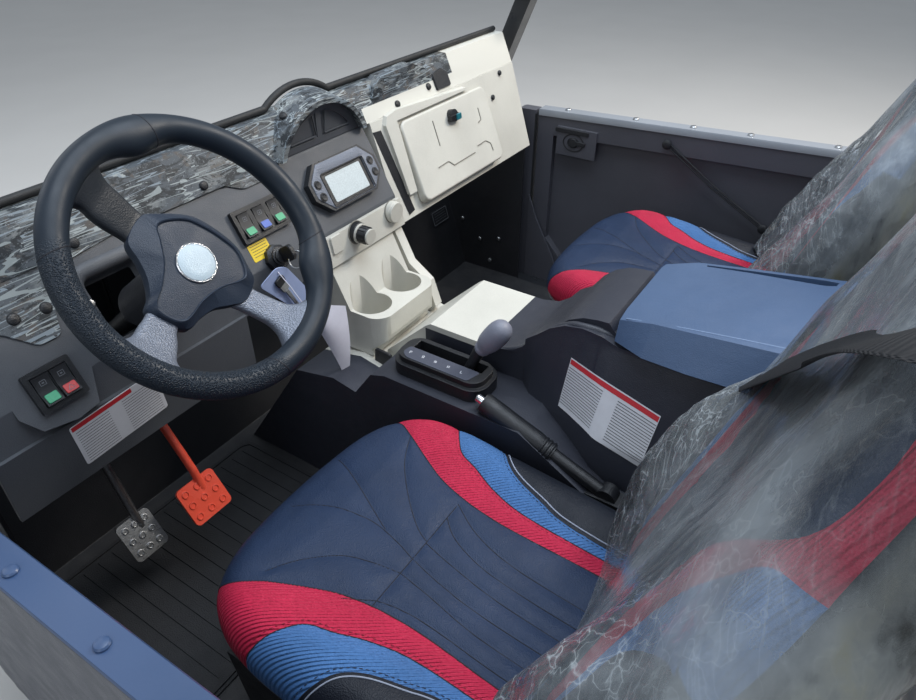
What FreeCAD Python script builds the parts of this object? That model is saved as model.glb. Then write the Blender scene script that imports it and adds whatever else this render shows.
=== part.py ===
"""Cockpit of a side by side utility vehicle: the lower cab frame with its floor, dash, steering, pedals,
console, two bucket seats and two half doors. X points to the right, Y forwards and Z up, in millimetres.
The origin is the centre of the four chassis bolts, on the underside of the frame."""

import FreeCAD
import Part
import math
import os

import Sketcher
from FreeCAD import Placement, Rotation, Vector

os.makedirs("parts", exist_ok=True)
doc = FreeCAD.newDocument("cockpit")
sheet = doc.addObject("Spreadsheet::Sheet", "Sizes")

# Driving dimensions: name, value in millimetres or degrees.
DIMENSIONS = [
    # frame
    ("rail_size", 50), ("rail_mid", 726), ("frame_front", 700), ("frame_back", 560),
    ("bolt_x", 300), ("bolt_y", 320), ("bolt_hole_radius", 6.5),
    ("post_size", 40), ("front_post_setback", 160), ("rear_post_setback", 30), ("rear_post_top", 640),
    ("pillar_knee_z", 560), ("pillar_top", 800), ("pillar_rake", 103),
    ("flange_size", 84), ("flange_thick", 8), ("flange_bolt", 28), ("flange_hole_radius", 5.5),
    ("belt_bar_z", 600), ("belt_bar_radius", 19), ("beam_z", 600), ("beam_radius", 21),
    # floor
    ("floor_thick", 8), ("toe_run", 110), ("toe_lean", 92), ("toe_top_z", 330), ("toe_lip", 60),
    ("panel_top", 560), ("panel_thick", 8), ("cowl_thick", 6), ("cowl_top", 520), ("cowl_corner", 40),
    # dash, as points of its section
    ("dash_wall", 5), ("dash_front", 484), ("dash_top_z", 726), ("dash_right_gap", 32),
    ("dash_step_y", 446), ("dash_step_z", 662), ("dash_lip_y", 376), ("dash_lip_z", 541),
    ("dash_chin_y", 366), ("dash_chin_z", 486), ("dash_under_y", 410), ("dash_under_z", 470),
    ("dash_lip_round", 8), ("centre_right", 106), ("knee_right", 300), ("knee_bottom", 400),
    ("knee_thick", 6),
    ("column_left", 53), ("column_right", 36), ("column_high", 99), ("column_corner", 12),
    # gauge hood
    ("hood_x", -5), ("hood_z", 624), ("hood_radius", 126), ("hood_wall", 10), ("hood_flare", 10),
    ("hood_back", 486), ("hood_nose", 430), ("face_inset", 16), ("face_thick", 10), ("seal_radius", 6),
    # instruments
    ("display_width", 176), ("display_height", 87), ("display_corner", 29), ("display_thick", 14),
    ("screen_width", 106), ("screen_height", 57), ("screen_drop", 8), ("button_x", 70), ("button_radius", 6),
    ("strip_left", 106), ("strip_thick", 12), ("knob_x", -30), ("socket_x", 75), ("control_drop", 18),
    ("rocker_width", 23), ("rocker_height", 40), ("bank_rim", 7), ("bank_thick", 8),
    # glove box
    ("surround_left", 124), ("lid_left", 198), ("lid_right_gap", 156), ("lid_top_y", 434),
    ("lid_top_z", 644),
    ("lid_bottom_y", 382), ("lid_bottom_z", 486), ("lid_thick_top", 8), ("lid_thick", 18),
    ("lid_corner", 18),
    ("lid_gap", 5), ("beam_gap", 6), ("tray_wall", 3), ("latch_x", 361), ("latch_drop", 27),
    # cup stack
    ("stack_mid", -17), ("stack_half", 88), ("stack_corner", 34), ("cup_pitch", 92), ("cup_y", 309),
    ("cup_radius", 37), ("cup_depth", 70), ("cup_rim_z", 408), ("cup_front", 254),
    ("stack_top_y", 360), ("stack_foot_y", 278), ("stack_foot_z", 326), ("leg_gap", 8), ("leg_width", 21),
    # tunnel and storage box
    ("tunnel_left", 195), ("tunnel_right", 118), ("shelf_z", 380), ("ridge_x", 6), ("ridge_half", 88),
    ("ridge_z", 425), ("flank_reach", 150), ("box_x", 10), ("box_half", 92), ("box_front", 165),
    ("box_back", 425), ("box_z", 530), ("box_depth", 200), ("box_wall", 6), ("box_rise", 12),
    ("lid_rise", 40),
    ("selector_x", -138), ("selector_y", 97), ("selector_length", 176), ("selector_width", 78),
    ("selector_high", 22), ("slot_width", 22), ("lever_radius", 6), ("knob_radius", 20),
    ("brake_x", -178), ("brake_nose_y", 0), ("brake_nose_z", 396), ("brake_pivot_y", -214),
    ("brake_pivot_z", 316),
    ("brake_grip_radius", 15), ("brake_grip_length", 130), ("brake_arm_radius", 10),
    # steering
    ("wheel_y", 230), ("wheel_z", 701), ("wheel_tilt", 37.7), ("wheel_radius", 156.5), ("rim_radius", 16),
    ("wheel_turn", 58), ("hub_radius", 48), ("shaft_radius", 12), ("shroud_radius", 30),
    ("shroud_length", 130),
    ("column_length", 440),
    # pedals
    ("accelerator_x", -434), ("brake_pedal_x", -532), ("pedal_arm_radius", 7), ("pedal_hub_radius", 14),
    ("pedal_hub_width", 24), ("lug_thick", 4),
    # seats and doors
    ("seat_x", 441), ("cushion_half", 221), ("cushion_front", 145), ("cushion_back", 330),
    ("cushion_thick", 118), ("base_top", 250), ("base_half", 190), ("base_setback", 38), ("slide_high", 20),
    ("back_high", 562), ("back_half", 225), ("back_thick", 105), ("recline", 17),
    ("door_gap", 6), ("door_thick", 34), ("door_front_gap", 6), ("door_top", 532), ("door_bottom", 60),
    ("door_wall", 10), ("door_pin", 5), ("knuckle_wall", 5), ("knuckle_high", 24), ("hinge_gap", 2),
    ("latch_back", 236), ("latch_front", 346), ("latch_low", 429), ("latch_high", 502), ("latch_thick", 5),
    # clearances
    ("seat_gap", 2), ("touch_gap", 0.3), ("pin_gap", 0.05),
]


class Size:
    """A value from the sheet, together with the expression that binds a feature to it."""

    def __init__(self, value, text):
        self.value = float(value)
        self.text = text

    def __add__(self, other):
        other = as_size(other)
        return Size(self.value + other.value, f"({self.text} + {other.text})")

    def __radd__(self, other):
        return as_size(other) + self

    def __sub__(self, other):
        other = as_size(other)
        return Size(self.value - other.value, f"({self.text} - {other.text})")

    def __rsub__(self, other):
        return as_size(other) - self

    def __mul__(self, other):
        other = as_size(other)
        return Size(self.value * other.value, f"({self.text} * {other.text})")

    def __rmul__(self, other):
        return as_size(other) * self

    def __truediv__(self, other):
        other = as_size(other)
        return Size(self.value / other.value, f"({self.text} / {other.text})")

    def __neg__(self):
        return Size(-self.value, f"(0 - {self.text})")


def as_size(number):
    return number if isinstance(number, Size) else Size(number, repr(float(number)))


for row, (alias, value) in enumerate(DIMENSIONS, start=1):
    sheet.set(f"A{row}", alias)
    sheet.set(f"B{row}", str(value))
    sheet.setAlias(f"B{row}", alias)
doc.recompute()
S = {alias: Size(value, f"Sizes.{alias}") for alias, value in DIMENSIONS}

# Sizes that follow from the driving ones.
S["half_post"] = S["post_size"] / 2
S["floor_half"] = S["rail_mid"] - S["half_post"] - S["cowl_thick"]
S["floor_top"] = S["rail_size"] + S["floor_thick"]
S["front_post_y"] = S["frame_front"] - S["front_post_setback"]
S["rear_post_y"] = S["rear_post_setback"] - S["frame_back"]
S["pillar_slope"] = S["pillar_rake"] / (S["pillar_top"] - S["pillar_knee_z"])
S["beam_y"] = S["front_post_y"] - S["pillar_slope"] * (S["beam_z"] - S["pillar_knee_z"])
S["toe_y"] = S["frame_front"] - S["toe_run"]
S["toe_top_y"] = S["toe_y"] + S["toe_lean"]
S["panel_y"] = S["rear_post_y"] + S["half_post"]
S["inside_back"] = S["panel_y"] + S["panel_thick"] + S["seat_gap"]
S["dash_right"] = S["floor_half"] - S["dash_right_gap"]
S["lid_right"] = S["dash_right"] - S["lid_right_gap"]
S["surround_top_y"] = S["lid_top_y"] + S["lid_gap"] + 1.6
S["surround_foot_y"] = S["lid_bottom_y"] - 3
S["wheel_x"] = -S["seat_x"]
S["cushion_low"] = S["base_top"] + S["slide_high"]
S["cushion_top"] = S["cushion_low"] + S["cushion_thick"]
S["base_front"] = S["cushion_front"] - S["base_setback"]
S["box_floor"] = S["box_z"] - S["box_depth"]
S["door_inner"] = S["rail_mid"] + S["rail_size"] / 2 + S["door_gap"]
S["door_mid"] = S["door_inner"] + S["door_thick"] / 2
S["door_front"] = S["dash_under_y"] - S["door_front_gap"]
S["door_back"] = S["rear_post_y"] + S["rear_post_setback"]
N = {alias: size.value for alias, size in S.items()}
PIECES = {}


# Helpers that build bound features.

def bind(feature, path, size):
    """Binds one property of a feature to the sheet."""
    feature.setExpression(path, as_size(size).text)


def place(feature, corner):
    feature.Placement = Placement(Vector(*[as_size(c).value for c in corner]), feature.Placement.Rotation)
    for axis, coordinate in zip("xyz", corner):
        bind(feature, f"Placement.Base.{axis}", coordinate)


def keep(label, feature):
    """Registers a feature as a finished piece, whose label is its node."""
    feature.Label = label
    PIECES[label] = feature
    return feature


def box(low, high):
    """A block from its lowest to its highest corner."""
    block = doc.addObject("Part::Box", "block")
    for side, a, b in zip(("Length", "Width", "Height"), low, high):
        size = as_size(b) - as_size(a)
        setattr(block, side, size.value)
        bind(block, side, size)
    place(block, low)
    return block


def rod(base, direction, radius, length):
    """A round bar from base along direction."""
    bar = doc.addObject("Part::Cylinder", "rod")
    bar.Radius = as_size(radius).value
    bar.Height = as_size(length).value
    bind(bar, "Radius", radius)
    bind(bar, "Height", length)
    bar.Placement = Placement(Vector(), Rotation(Vector(0, 0, 1), Vector(*direction)))
    place(bar, base)
    return bar


def fuse(parts, label="join"):
    whole = doc.addObject("Part::MultiFuse", label)
    whole.Shapes = parts
    return whole


def cut(base, tools, label="cut"):
    piece = doc.addObject("Part::Cut", label)
    piece.Base = base
    piece.Tool = tools[0] if len(tools) == 1 else fuse(tools)
    return piece


def attach(body, role, label, offset):
    """An empty sketch on one of the body's origin planes."""
    sketch = body.newObject("Sketcher::SketchObject", label)
    plane = [f for f in body.Origin.OriginFeatures if f.Role == role][0]
    sketch.AttachmentSupport = [(plane, "")]
    sketch.MapMode = "FlatFace"
    sketch.AttachmentOffset = Placement(Vector(0, 0, as_size(offset).value), Rotation())
    bind(sketch, "AttachmentOffset.Base.z", offset)
    return sketch


def fix_point(sketch, geometry, vertex, point):
    """Fixes a sketch point to coordinates from the sheet."""
    for kind, coordinate in zip(("DistanceX", "DistanceY"), point):
        number = sketch.addConstraint(Sketcher.Constraint(kind, -1, 1, geometry, vertex, coordinate.value))
        if "Sizes" in coordinate.text:
            bind(sketch, f"Constraints[{number}]", coordinate)


def outline(body, role, points, offset=0):
    """A closed sketch of straight lines on an origin plane."""
    sketch = attach(body, role, "outline", offset)
    corners = [(as_size(u), as_size(v)) for u, v in points]
    for (u, v), (p, q) in zip(corners, corners[1:] + corners[:1]):
        sketch.addGeometry(Part.LineSegment(Vector(u.value, v.value, 0), Vector(p.value, q.value, 0)))
    for i in range(len(corners)):
        sketch.addConstraint(Sketcher.Constraint("Coincident", i, 2, (i + 1) % len(corners), 1))
    for i, corner in enumerate(corners):
        fix_point(sketch, i, 1, corner)
    return sketch


def circle(body, role, centre, radius, offset=0):
    sketch = attach(body, role, "ring", offset)
    middle = [as_size(c) for c in centre]
    centre = Vector(middle[0].value, middle[1].value, 0)
    sketch.addGeometry(Part.Circle(centre, Vector(0, 0, 1), radius.value))
    fix_point(sketch, 0, 3, middle)
    number = sketch.addConstraint(Sketcher.Constraint("Radius", 0, radius.value))
    bind(sketch, f"Constraints[{number}]", radius)
    return sketch


def extrude(kind, body, sketch, length, both_ways, backwards):
    feature = body.newObject(f"PartDesign::{kind}", kind.lower())
    feature.Profile = sketch
    feature.Midplane = both_ways
    feature.Reversed = backwards
    feature.Length = as_size(length).value
    bind(feature, "Length", length)
    doc.recompute()
    return feature


def pad(body, sketch, length, both_ways=True, backwards=False):
    return extrude("Pad", body, sketch, length, both_ways, backwards)


def pocket(body, sketch, length, both_ways=True, backwards=False):
    before = body.Tip.Shape.Volume
    feature = extrude("Pocket", body, sketch, length, both_ways, backwards)
    if feature.Shape.Volume > before - 1:
        raise RuntimeError(f"a pocket of {body.Label} cuts nothing")
    return feature


def round_edges(body, chosen, radius):
    """Rounds the edges of the body's tip that chosen accepts."""
    tip = body.Tip
    names = [f"Edge{i}" for i, edge in enumerate(tip.Shape.Edges, start=1) if chosen(edge)]
    feature = body.newObject("PartDesign::Fillet", "round")
    feature.Base = (tip, names)
    feature.Radius = as_size(radius).value
    bind(feature, "Radius", radius)
    doc.recompute()
    return feature


def runs_along(edge, axis):
    """Whether an edge is straight and runs along an axis."""
    if edge.Curve.TypeId != "Part::GeomLine":
        return False
    direction = edge.tangentAt(edge.FirstParameter)
    return abs(abs(direction["xyz".index(axis)]) - 1) < 1e-6


def new_body(label):
    body = doc.addObject("PartDesign::Body", label)
    body.Label = label
    return body


def prism(label, points, x, width):
    """A body with a side outline, in Y and Z, and a width along X about x."""
    body = new_body(label)
    pad(body, outline(body, "YZ_Plane", points, x), width)
    return body


def solid(label, shape):
    """A piece whose form no bound feature fits, worked out from the sheet's sizes."""
    feature = doc.addObject("Part::Feature", label)
    feature.Shape = shape
    return feature


def polygon_face(corners):
    return Part.Face(Part.makePolygon(corners + corners[:1]))


def loft(sections):
    """A solid through closed sections of straight lines."""
    return Part.makeLoft([Part.makePolygon(s + s[:1]) for s in sections], True, True)


def bar_between(a, b, radius):
    return Part.makeCylinder(radius, (b - a).Length, a, b - a)


# The lower cab frame: two sills, four cross members with the chassis bolts, posts and tubes.

def frame_rails():
    half = S["rail_size"] / 2
    high = S["rail_size"]
    front, back = S["frame_front"], -S["frame_back"]
    bars = []
    for side in (-1, 1):
        x = side * S["rail_mid"]
        bars.append(box((x - half, back, 0), (x + half, front, high)))
    for y in (back + half, -S["bolt_y"], S["bolt_y"], front - half):
        bars.append(box((-S["rail_mid"], y - half, 0), (S["rail_mid"], y + half, high)))
    holes = [rod((sx * S["bolt_x"], sy * S["bolt_y"], -5), (0, 0, 1), S["bolt_hole_radius"], high + 10)
             for sx in (-1, 1) for sy in (-1, 1)]
    keep("floor_frame", cut(fuse(bars), holes))


def flange(x, y, z):
    """A square plate with four bolt holes, on top of a post."""
    half = S["flange_size"] / 2
    plate = box((x - half, y - half, z), (x + half, y + half, z + S["flange_thick"]))
    holes = [rod((x + sx * S["flange_bolt"], y + sy * S["flange_bolt"], z - 5), (0, 0, 1),
                 S["flange_hole_radius"], S["flange_thick"] + 10) for sx in (-1, 1) for sy in (-1, 1)]
    return cut(plate, holes)


def posts():
    """Front posts that lean back above the knee, rear posts with the hinge pins, and the belt bar."""
    half = S["half_post"]
    low, knee, top = S["rail_size"], S["pillar_knee_z"], S["pillar_top"]
    front, rear, rake = S["front_post_y"], S["rear_post_y"], S["pillar_rake"]
    for name, side in (("left", -1), ("right", 1)):
        x = side * S["rail_mid"]
        pillar = prism(f"pillar_{name}", [
            (front - half, low), (front + half, low), (front + half, knee), (front + half - rake, top),
            (front - half - rake, top), (front - half, knee)], x, S["post_size"])
        keep(f"front_post_{name}", fuse([pillar, flange(x, front - rake, top)]))
        upright = box((x - half, rear - half, low), (x + half, rear + half, S["rear_post_top"]))
        keep(f"rear_post_{name}", fuse([upright, flange(x, rear, S["rear_post_top"])] + hinge_pins(side)))
    inner = S["rail_mid"] - half
    keep("belt_bar", rod((-inner, rear, S["belt_bar_z"]), (1, 0, 0), S["belt_bar_radius"], 2 * inner))
    keep("dash_beam", rod((-inner, S["beam_y"], S["beam_z"]), (1, 0, 0), S["beam_radius"], 2 * inner))


# The floor: a pan that turns up into the toe board, the bulkhead behind the seats and the cowl sides.

def floor():
    low, high, thick = S["rail_size"], S["floor_top"], S["floor_thick"]
    back, toe_y, toe_top_y, toe_top_z = S["panel_y"], S["toe_y"], S["toe_top_y"], S["toe_top_z"]
    lip = toe_top_z + S["toe_lip"]
    pan = prism("floor_pan", [
        (back, low), (toe_y + 4, low), (toe_top_y, toe_top_z), (toe_top_y, lip), (toe_top_y - thick, lip),
        (toe_top_y - thick, toe_top_z), (toe_y, high), (back, high)], 0, 2 * S["floor_half"])
    sides = []
    for name, side in (("left", -1), ("right", 1)):
        x = side * (S["floor_half"] + S["cowl_thick"] / 2)
        back, front, top, corner = S["dash_under_y"], S["frame_front"], S["cowl_top"], S["cowl_corner"]
        sides.append(prism(f"cowl_side_{name}", [
            (back, low), (front, low), (front, lip), (front - S["toe_lip"], top), (back + corner, top),
            (back, top - corner)], x, S["cowl_thick"]))
    keep("floor_tub", fuse([pan] + sides))
    y = S["panel_y"]
    half = S["floor_half"]
    keep("rear_bulkhead", box((-half, y, high), (half, y + S["panel_thick"], S["panel_top"])))


def seat_bases():
    """Moulded boxes under the seats, open underneath."""
    low, top, wall = S["floor_top"], S["base_top"], S["box_wall"]
    front, back, slant = S["base_front"], S["inside_back"], 30
    for name, side in (("driver", -1), ("passenger", 1)):
        x = side * S["seat_x"]
        body = prism(f"{name}_seat_base", [
            (back, low), (front - slant, low), (front, top), (back, top)], x, 2 * S["base_half"])
        pocket(body, outline(body, "YZ_Plane", [
            (back + wall, low), (front - slant - wall, low), (front - wall, top - wall),
            (back + wall, top - wall)], x), 2 * (S["base_half"] - wall))
        keep(f"{name}_seat_base", body)


# The dash.

def dash_point(t, lift=0.0):
    """A point of the sloping dash face, from its step at t = 0 to its lip at t = 1, lifted off it."""
    dy, dz = N["dash_lip_y"] - N["dash_step_y"], N["dash_lip_z"] - N["dash_step_z"]
    run = math.hypot(dy, dz)
    return (N["dash_step_y"] + dy * t + dz / run * lift, N["dash_step_z"] + dz * t - dy / run * lift)


def on_dash(x, t, shape):
    """Moves a shape modelled on XY, facing +Z, onto the dash face."""
    dy, dz = N["dash_lip_y"] - N["dash_step_y"], N["dash_lip_z"] - N["dash_step_z"]
    slope = math.degrees(math.atan2(-dz, -dy))
    y, z = dash_point(t)
    moved = shape.copy()
    moved.Placement = Placement(Vector(x, y, z), Rotation(Vector(1, 0, 0), slope)).multiply(moved.Placement)
    return moved


def upright_edges(shape):
    return [e for e in shape.Edges if abs(e.tangentAt(0).z) > 0.99]


def rounded_plate(width, height, thick, corner):
    plate = Part.makeBox(width, height, thick, Vector(-width / 2, -height / 2, 0))
    return plate.makeFillet(corner, upright_edges(plate))


def dash_panel():
    wall = S["dash_wall"]
    left, right = -S["floor_half"], S["centre_right"]
    middle, width = (left + right) / 2, right - left
    step_y, step_z, lip_y, lip_z = S["dash_step_y"], S["dash_step_z"], S["dash_lip_y"], S["dash_lip_z"]
    chin_y, chin_z = S["dash_chin_y"], S["dash_chin_z"]
    under_y, under_z = S["dash_under_y"], S["dash_under_z"]
    back = S["dash_front"] - 10
    panel = prism("dash_shell", [
        (step_y, step_z), (lip_y, lip_z), (chin_y, chin_z), (under_y, under_z), (back, under_z + 20),
        (back, step_z)], middle, width)
    lip_z_value = N["dash_lip_z"]
    round_edges(panel, lambda e: runs_along(e, "x") and e.CenterOfMass.z > lip_z_value - 1
                and e.CenterOfMass.y < N["dash_step_y"] + 1, S["dash_lip_round"])
    pocket(panel, outline(panel, "YZ_Plane", [
        (step_y + wall * 1.2, step_z - wall), (lip_y + wall * 1.2, lip_z),
        (chin_y + wall, chin_z + wall / 2), (under_y, under_z + wall),
        (back + wall, under_z + 20 + wall), (back + wall, step_z - wall)], middle),
        width - 2 * wall)
    knee = box((left + 4, chin_y - wall, S["knee_bottom"]),
               (-S["knee_right"], chin_y - wall + S["knee_thick"], chin_z + S["knee_thick"]))
    window = rounded_plate(N["column_left"] + N["column_right"], N["column_high"], 60, N["column_corner"])
    window.translate(Vector((N["column_right"] - N["column_left"]) / 2, 0, -30))
    keep("dash_panel", cut(fuse([panel, knee, solid("bank_pad", bank_pad())]),
                           [solid("column_window", on_dash(N["wheel_x"], COLUMN_T, window))]))


# Where the steering column passes the dash face.
COLUMN_T = 0.63

# Switch banks: place across the dash and down its face, number of rockers, gap between them.
BANKS = [("right_bank", -199, 0.49, 3, 8), ("left_bank", -592, 0.98, 2, 1)]

# Raised pad round the left bank: distance from the bank's middle, place down the dash face.
BANK_PAD = [(-55, 0.7), (-55, 1.1), (-39, 1.29), (3, 1.35), (34, 1.32), (57, 0.87), (57, 0.7)]


def bank_pad():
    x = BANKS[1][1]
    corners = [Vector(x + dx, *dash_point(t, -24)) for dx, t in BANK_PAD]
    return polygon_face(corners).extrude(Vector(0, *dash_point(0, 24)) - Vector(0, *dash_point(0, 0)))


# Raised part of the dash top in front of the passenger: corners seen from the seats, X and Z.
BULGE = [(150, 664), (150, 692), (163, 718), (183, 732), (284, 735), (328, 717), (381, 671), (381, 664)]


def dash_top():
    wall = S["dash_wall"]
    left, right = -S["floor_half"], S["dash_right"]
    middle, width = (left + right) / 2, right - left
    low, high, front = S["dash_step_z"] + S["touch_gap"], S["dash_top_z"], S["dash_front"]
    brow, shelf, back = front - 22, front - 14, front + 26
    top = prism("dash_shelf", [
        (S["dash_step_y"] - 4, low), (brow, high - 18), (shelf, high), (back, high), (back, low)],
        middle, width)
    pocket(top, outline(top, "YZ_Plane", [
        (S["dash_step_y"] + wall, low), (brow + wall, high - 18), (shelf + wall, high - wall),
        (back + wall, high - wall), (back + wall, low)], middle), width - 2 * wall)
    bulge = polygon_face([Vector(x, N["dash_front"] - 30, z) for x, z in BULGE]).extrude(Vector(0, 27, 0))
    opening = hood_cone(N["hood_radius"] + 0.5)
    keep("dash_top", cut(fuse([top, solid("bulge", bulge)]), [opening]))


def gauge_hood():
    outer = hood_cone(N["hood_radius"])
    inner = hood_cone(N["hood_radius"] - N["hood_wall"], 5)
    below = box((-400, 300, 300), (400, 700, S["dash_step_z"] + S["touch_gap"]))
    keep("gauge_hood", cut(outer, [inner, below]))
    face = hood_cone(N["hood_radius"] - N["hood_wall"] - N["touch_gap"])
    near = S["hood_nose"] + S["face_inset"]
    slab = box((-400, near, S["dash_step_z"] + S["touch_gap"]), (400, near + S["face_thick"], 900))
    both = doc.addObject("Part::MultiCommon", "face")
    both.Shapes = [face, slab]
    keep("gauge_face", cut(both, [solid("pod", pod_shape(side)) for side in (-1, 1)]))


def hood_cone(radius, overrun=0):
    """A tapering round bar along Y, wide at the windscreen and narrow at the nose."""
    bar = doc.addObject("Part::Cone", "taper")
    bar.Radius1 = radius
    bar.Radius2 = radius - N["hood_flare"]
    bar.Height = N["hood_back"] - N["hood_nose"] + 2 * overrun
    bar.Placement = Placement(Vector(N["hood_x"], N["hood_back"] + overrun, N["hood_z"]),
                              Rotation(Vector(0, 0, 1), Vector(0, -1, 0)))
    return bar


def pod_shape(side):
    """One of the two blank gauge recesses, a quarter of the face."""
    near = N["hood_nose"] + N["face_inset"]
    radius = N["hood_radius"] - N["hood_flare"] - N["hood_wall"] - 14
    disc = Part.makeCylinder(radius, 6, Vector(N["hood_x"], near - 4, N["hood_z"]), Vector(0, 1, 0))
    x = N["hood_x"] + side * 6
    start = Vector(x if side > 0 else x - 200, near - 50, N["dash_step_z"] + 12)
    corner = Part.makeBox(200, 100, 200, start)
    return disc.common(corner)


def windscreen_seal():
    """The rubber seal along the top of the dash, which arches over the gauge hood."""
    r, gap = N["seal_radius"], N["touch_gap"]
    y, z = N["hood_back"] + r + gap, N["dash_top_z"] + r + gap
    sweep = N["hood_radius"] + r + gap
    rise = math.asin((z - N["hood_z"]) / sweep)
    reach = sweep * math.cos(rise)
    left, right = N["hood_x"] - reach, N["hood_x"] + reach
    start, end = -N["floor_half"] + r, N["dash_right"] - r
    bars = [bar_between(Vector(start, y, z), Vector(left, y, z), r),
            bar_between(Vector(right, y, z), Vector(end, y, z), r),
            Part.makeSphere(r, Vector(left, y, z)), Part.makeSphere(r, Vector(right, y, z))]
    ring = Part.Circle(Vector(right, y, z), Vector(math.sin(rise), 0, -math.cos(rise)), r)
    disc = Part.Face(Part.Wire(ring.toShape()))
    arch = disc.revolve(Vector(N["hood_x"], y, N["hood_z"]), Vector(0, -1, 0), 180 - 2 * math.degrees(rise))
    keep("windscreen_seal", solid("seal", arch.multiFuse(bars)))


def display():
    width, height, thick = N["display_width"], N["display_height"], N["display_thick"]
    case = Part.makeBox(width, height, thick, Vector(-width / 2, -height / 2, 0))
    case = case.makeChamfer(N["display_corner"], upright_edges(case))
    screen = rounded_plate(N["screen_width"], N["screen_height"], 4, 4)
    screen.translate(Vector(0, -N["screen_drop"], thick - 2))
    buttons = [Part.makeCylinder(N["button_radius"], 3, Vector(sx * N["button_x"], v, thick))
               for sx in (-1, 1) for v in (-14, 8)]
    keep("display", solid("display", on_dash(0, 0.5, case.cut(screen).multiFuse(buttons))))


def accessory_strip():
    """The plate under the centre of the dash, with a knob and a capped power socket."""
    thick = S["strip_thick"]
    left, right = -S["strip_left"], S["centre_right"]
    lip_y, lip_z, chin_y, chin_z = S["dash_lip_y"], S["dash_lip_z"], S["dash_chin_y"], S["dash_chin_z"]
    strip = prism("strip_plate", [
        (lip_y - thick, lip_z - 2), (lip_y - 1.2, lip_z - 5),
        (chin_y, chin_z + 1), (chin_y - thick, chin_z)],
        (left + right) / 2, right - left)
    y, z = N["dash_chin_y"] - N["strip_thick"] + 6, N["dash_lip_z"] - N["control_drop"]
    controls = []
    for x, radius, length in ((N["knob_x"], 14, 34), (N["knob_x"], 18, 12), (N["socket_x"], 19, 12)):
        controls.append(Part.makeCylinder(radius, length, Vector(x, y, z), Vector(0, -1, 0)))
    knob = controls[0].fuse(controls[1])
    keep("accessory_strip", fuse([strip, solid("controls", Part.Compound([knob, controls[2]]))]))


def rocker(middle):
    """A rocker with its two rounded ends, on the floor of its slot."""
    thick = N["bank_thick"]
    half = N["rocker_height"] / 2 - 1
    side = [(-half, 3), (-half, thick + 5), (0, thick - 1), (half, thick + 2), (half, 3)]
    x = middle - N["rocker_width"] / 2 + 1
    return polygon_face([Vector(x, v, w) for v, w in side]).extrude(Vector(N["rocker_width"] - 2, 0, 0))


def switches():
    """Two banks of rockers, and the ignition lock with its key."""
    controls = []
    step, high = N["rocker_width"], N["rocker_height"]
    for name, x, t, count, gap in BANKS:
        width = count * step + (count - 1) * gap + 2 * N["bank_rim"]
        rim = rounded_plate(width, high + 2 * N["bank_rim"], N["bank_thick"], 3)
        middles = [(i - (count - 1) / 2) * (step + gap) for i in range(count)]
        for middle in middles:
            rim = rim.cut(Part.makeBox(step, high, 20, Vector(middle - step / 2, -high / 2, 3)))
        controls.append(on_dash(x, t, rim.multiFuse([rocker(middle) for middle in middles])))
    lock = Part.makeCylinder(14, 12).fuse(Part.makeCylinder(11, 18))
    key = Part.makeBox(3, 22, 26, Vector(-1.5, -11, 18))
    controls.append(on_dash(-207, 0.96, lock.fuse(key)))
    keep("dash_switches", solid("switches", Part.Compound(controls)))


# The glove box on the passenger side.

def glove_box():
    wall, left, right = S["dash_wall"], S["surround_left"], S["dash_right"]
    middle, width = (left + right) / 2, right - left
    top_y, foot_y = S["surround_top_y"], S["surround_foot_y"]
    top_z, foot_z, back = S["dash_step_z"], S["dash_under_z"], S["dash_front"] - 10
    surround = prism("glove_surround", [(top_y, top_z), (foot_y, foot_z), (back, foot_z), (back, top_z)],
                     middle, width)
    pocket(surround, outline(surround, "YZ_Plane", [
        (top_y + wall, top_z - wall), (foot_y + wall, foot_z + wall), (back + wall, foot_z + wall),
        (back + wall, top_z - wall)], middle), width - 2 * wall)
    slope = (top_y - foot_y) / (top_z - foot_z)
    low, high = S["lid_bottom_z"] + 12, S["lid_top_z"] - 12
    deep = S["beam_y"] - S["beam_radius"] - S["beam_gap"]
    tray = prism("glove_tray", [
        (foot_y + slope * (low - foot_z) + 2, low), (deep, low), (deep, high),
        (foot_y + slope * (high - foot_z) + 2, high)], (S["lid_left"] + S["lid_right"]) / 2,
        S["lid_right"] - S["lid_left"] - 24)
    skin = S["tray_wall"]
    room = box((S["lid_left"] + 12 + skin, 300, low + skin),
               (S["lid_right"] - 12 - skin, deep - skin, high - skin))
    keep("glove_box", cut(fuse([surround, tray, solid("bezel", glove_bezel())]), [room]))


# Raised edge round the lid, from the lid's corners: distance to the left or right, and up.
BEZEL_LEFT = [(-30, -128), (-41, 6), (-31, 21), (0, 26)]
BEZEL_RIGHT = [(-69, 12), (-39, -12)]


def glove_bezel():
    corners = [(N["lid_left"] + dx, N["lid_top_z"] + dz) for dx, dz in BEZEL_LEFT]
    corners += [(N["lid_right"] + dx, N["lid_top_z"] + dz) for dx, dz in BEZEL_RIGHT]
    corners.append((N["lid_left"], N["lid_top_z"] - 128))
    slope = (N["surround_top_y"] - N["surround_foot_y"]) / (N["dash_step_z"] - N["dash_under_z"])
    face = [Vector(x, N["surround_foot_y"] + slope * (z - N["dash_under_z"]) + 1, z) for x, z in corners]
    plate = polygon_face(face).extrude(Vector(0, -10, 0))
    gap = N["lid_gap"]
    hole = Part.makeBox(N["lid_right"] - N["lid_left"] + 2 * gap, 200, 400,
                        Vector(N["lid_left"] - gap, 300, N["lid_top_z"] + gap + 2 - 400))
    return plate.cut(hole)


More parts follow.
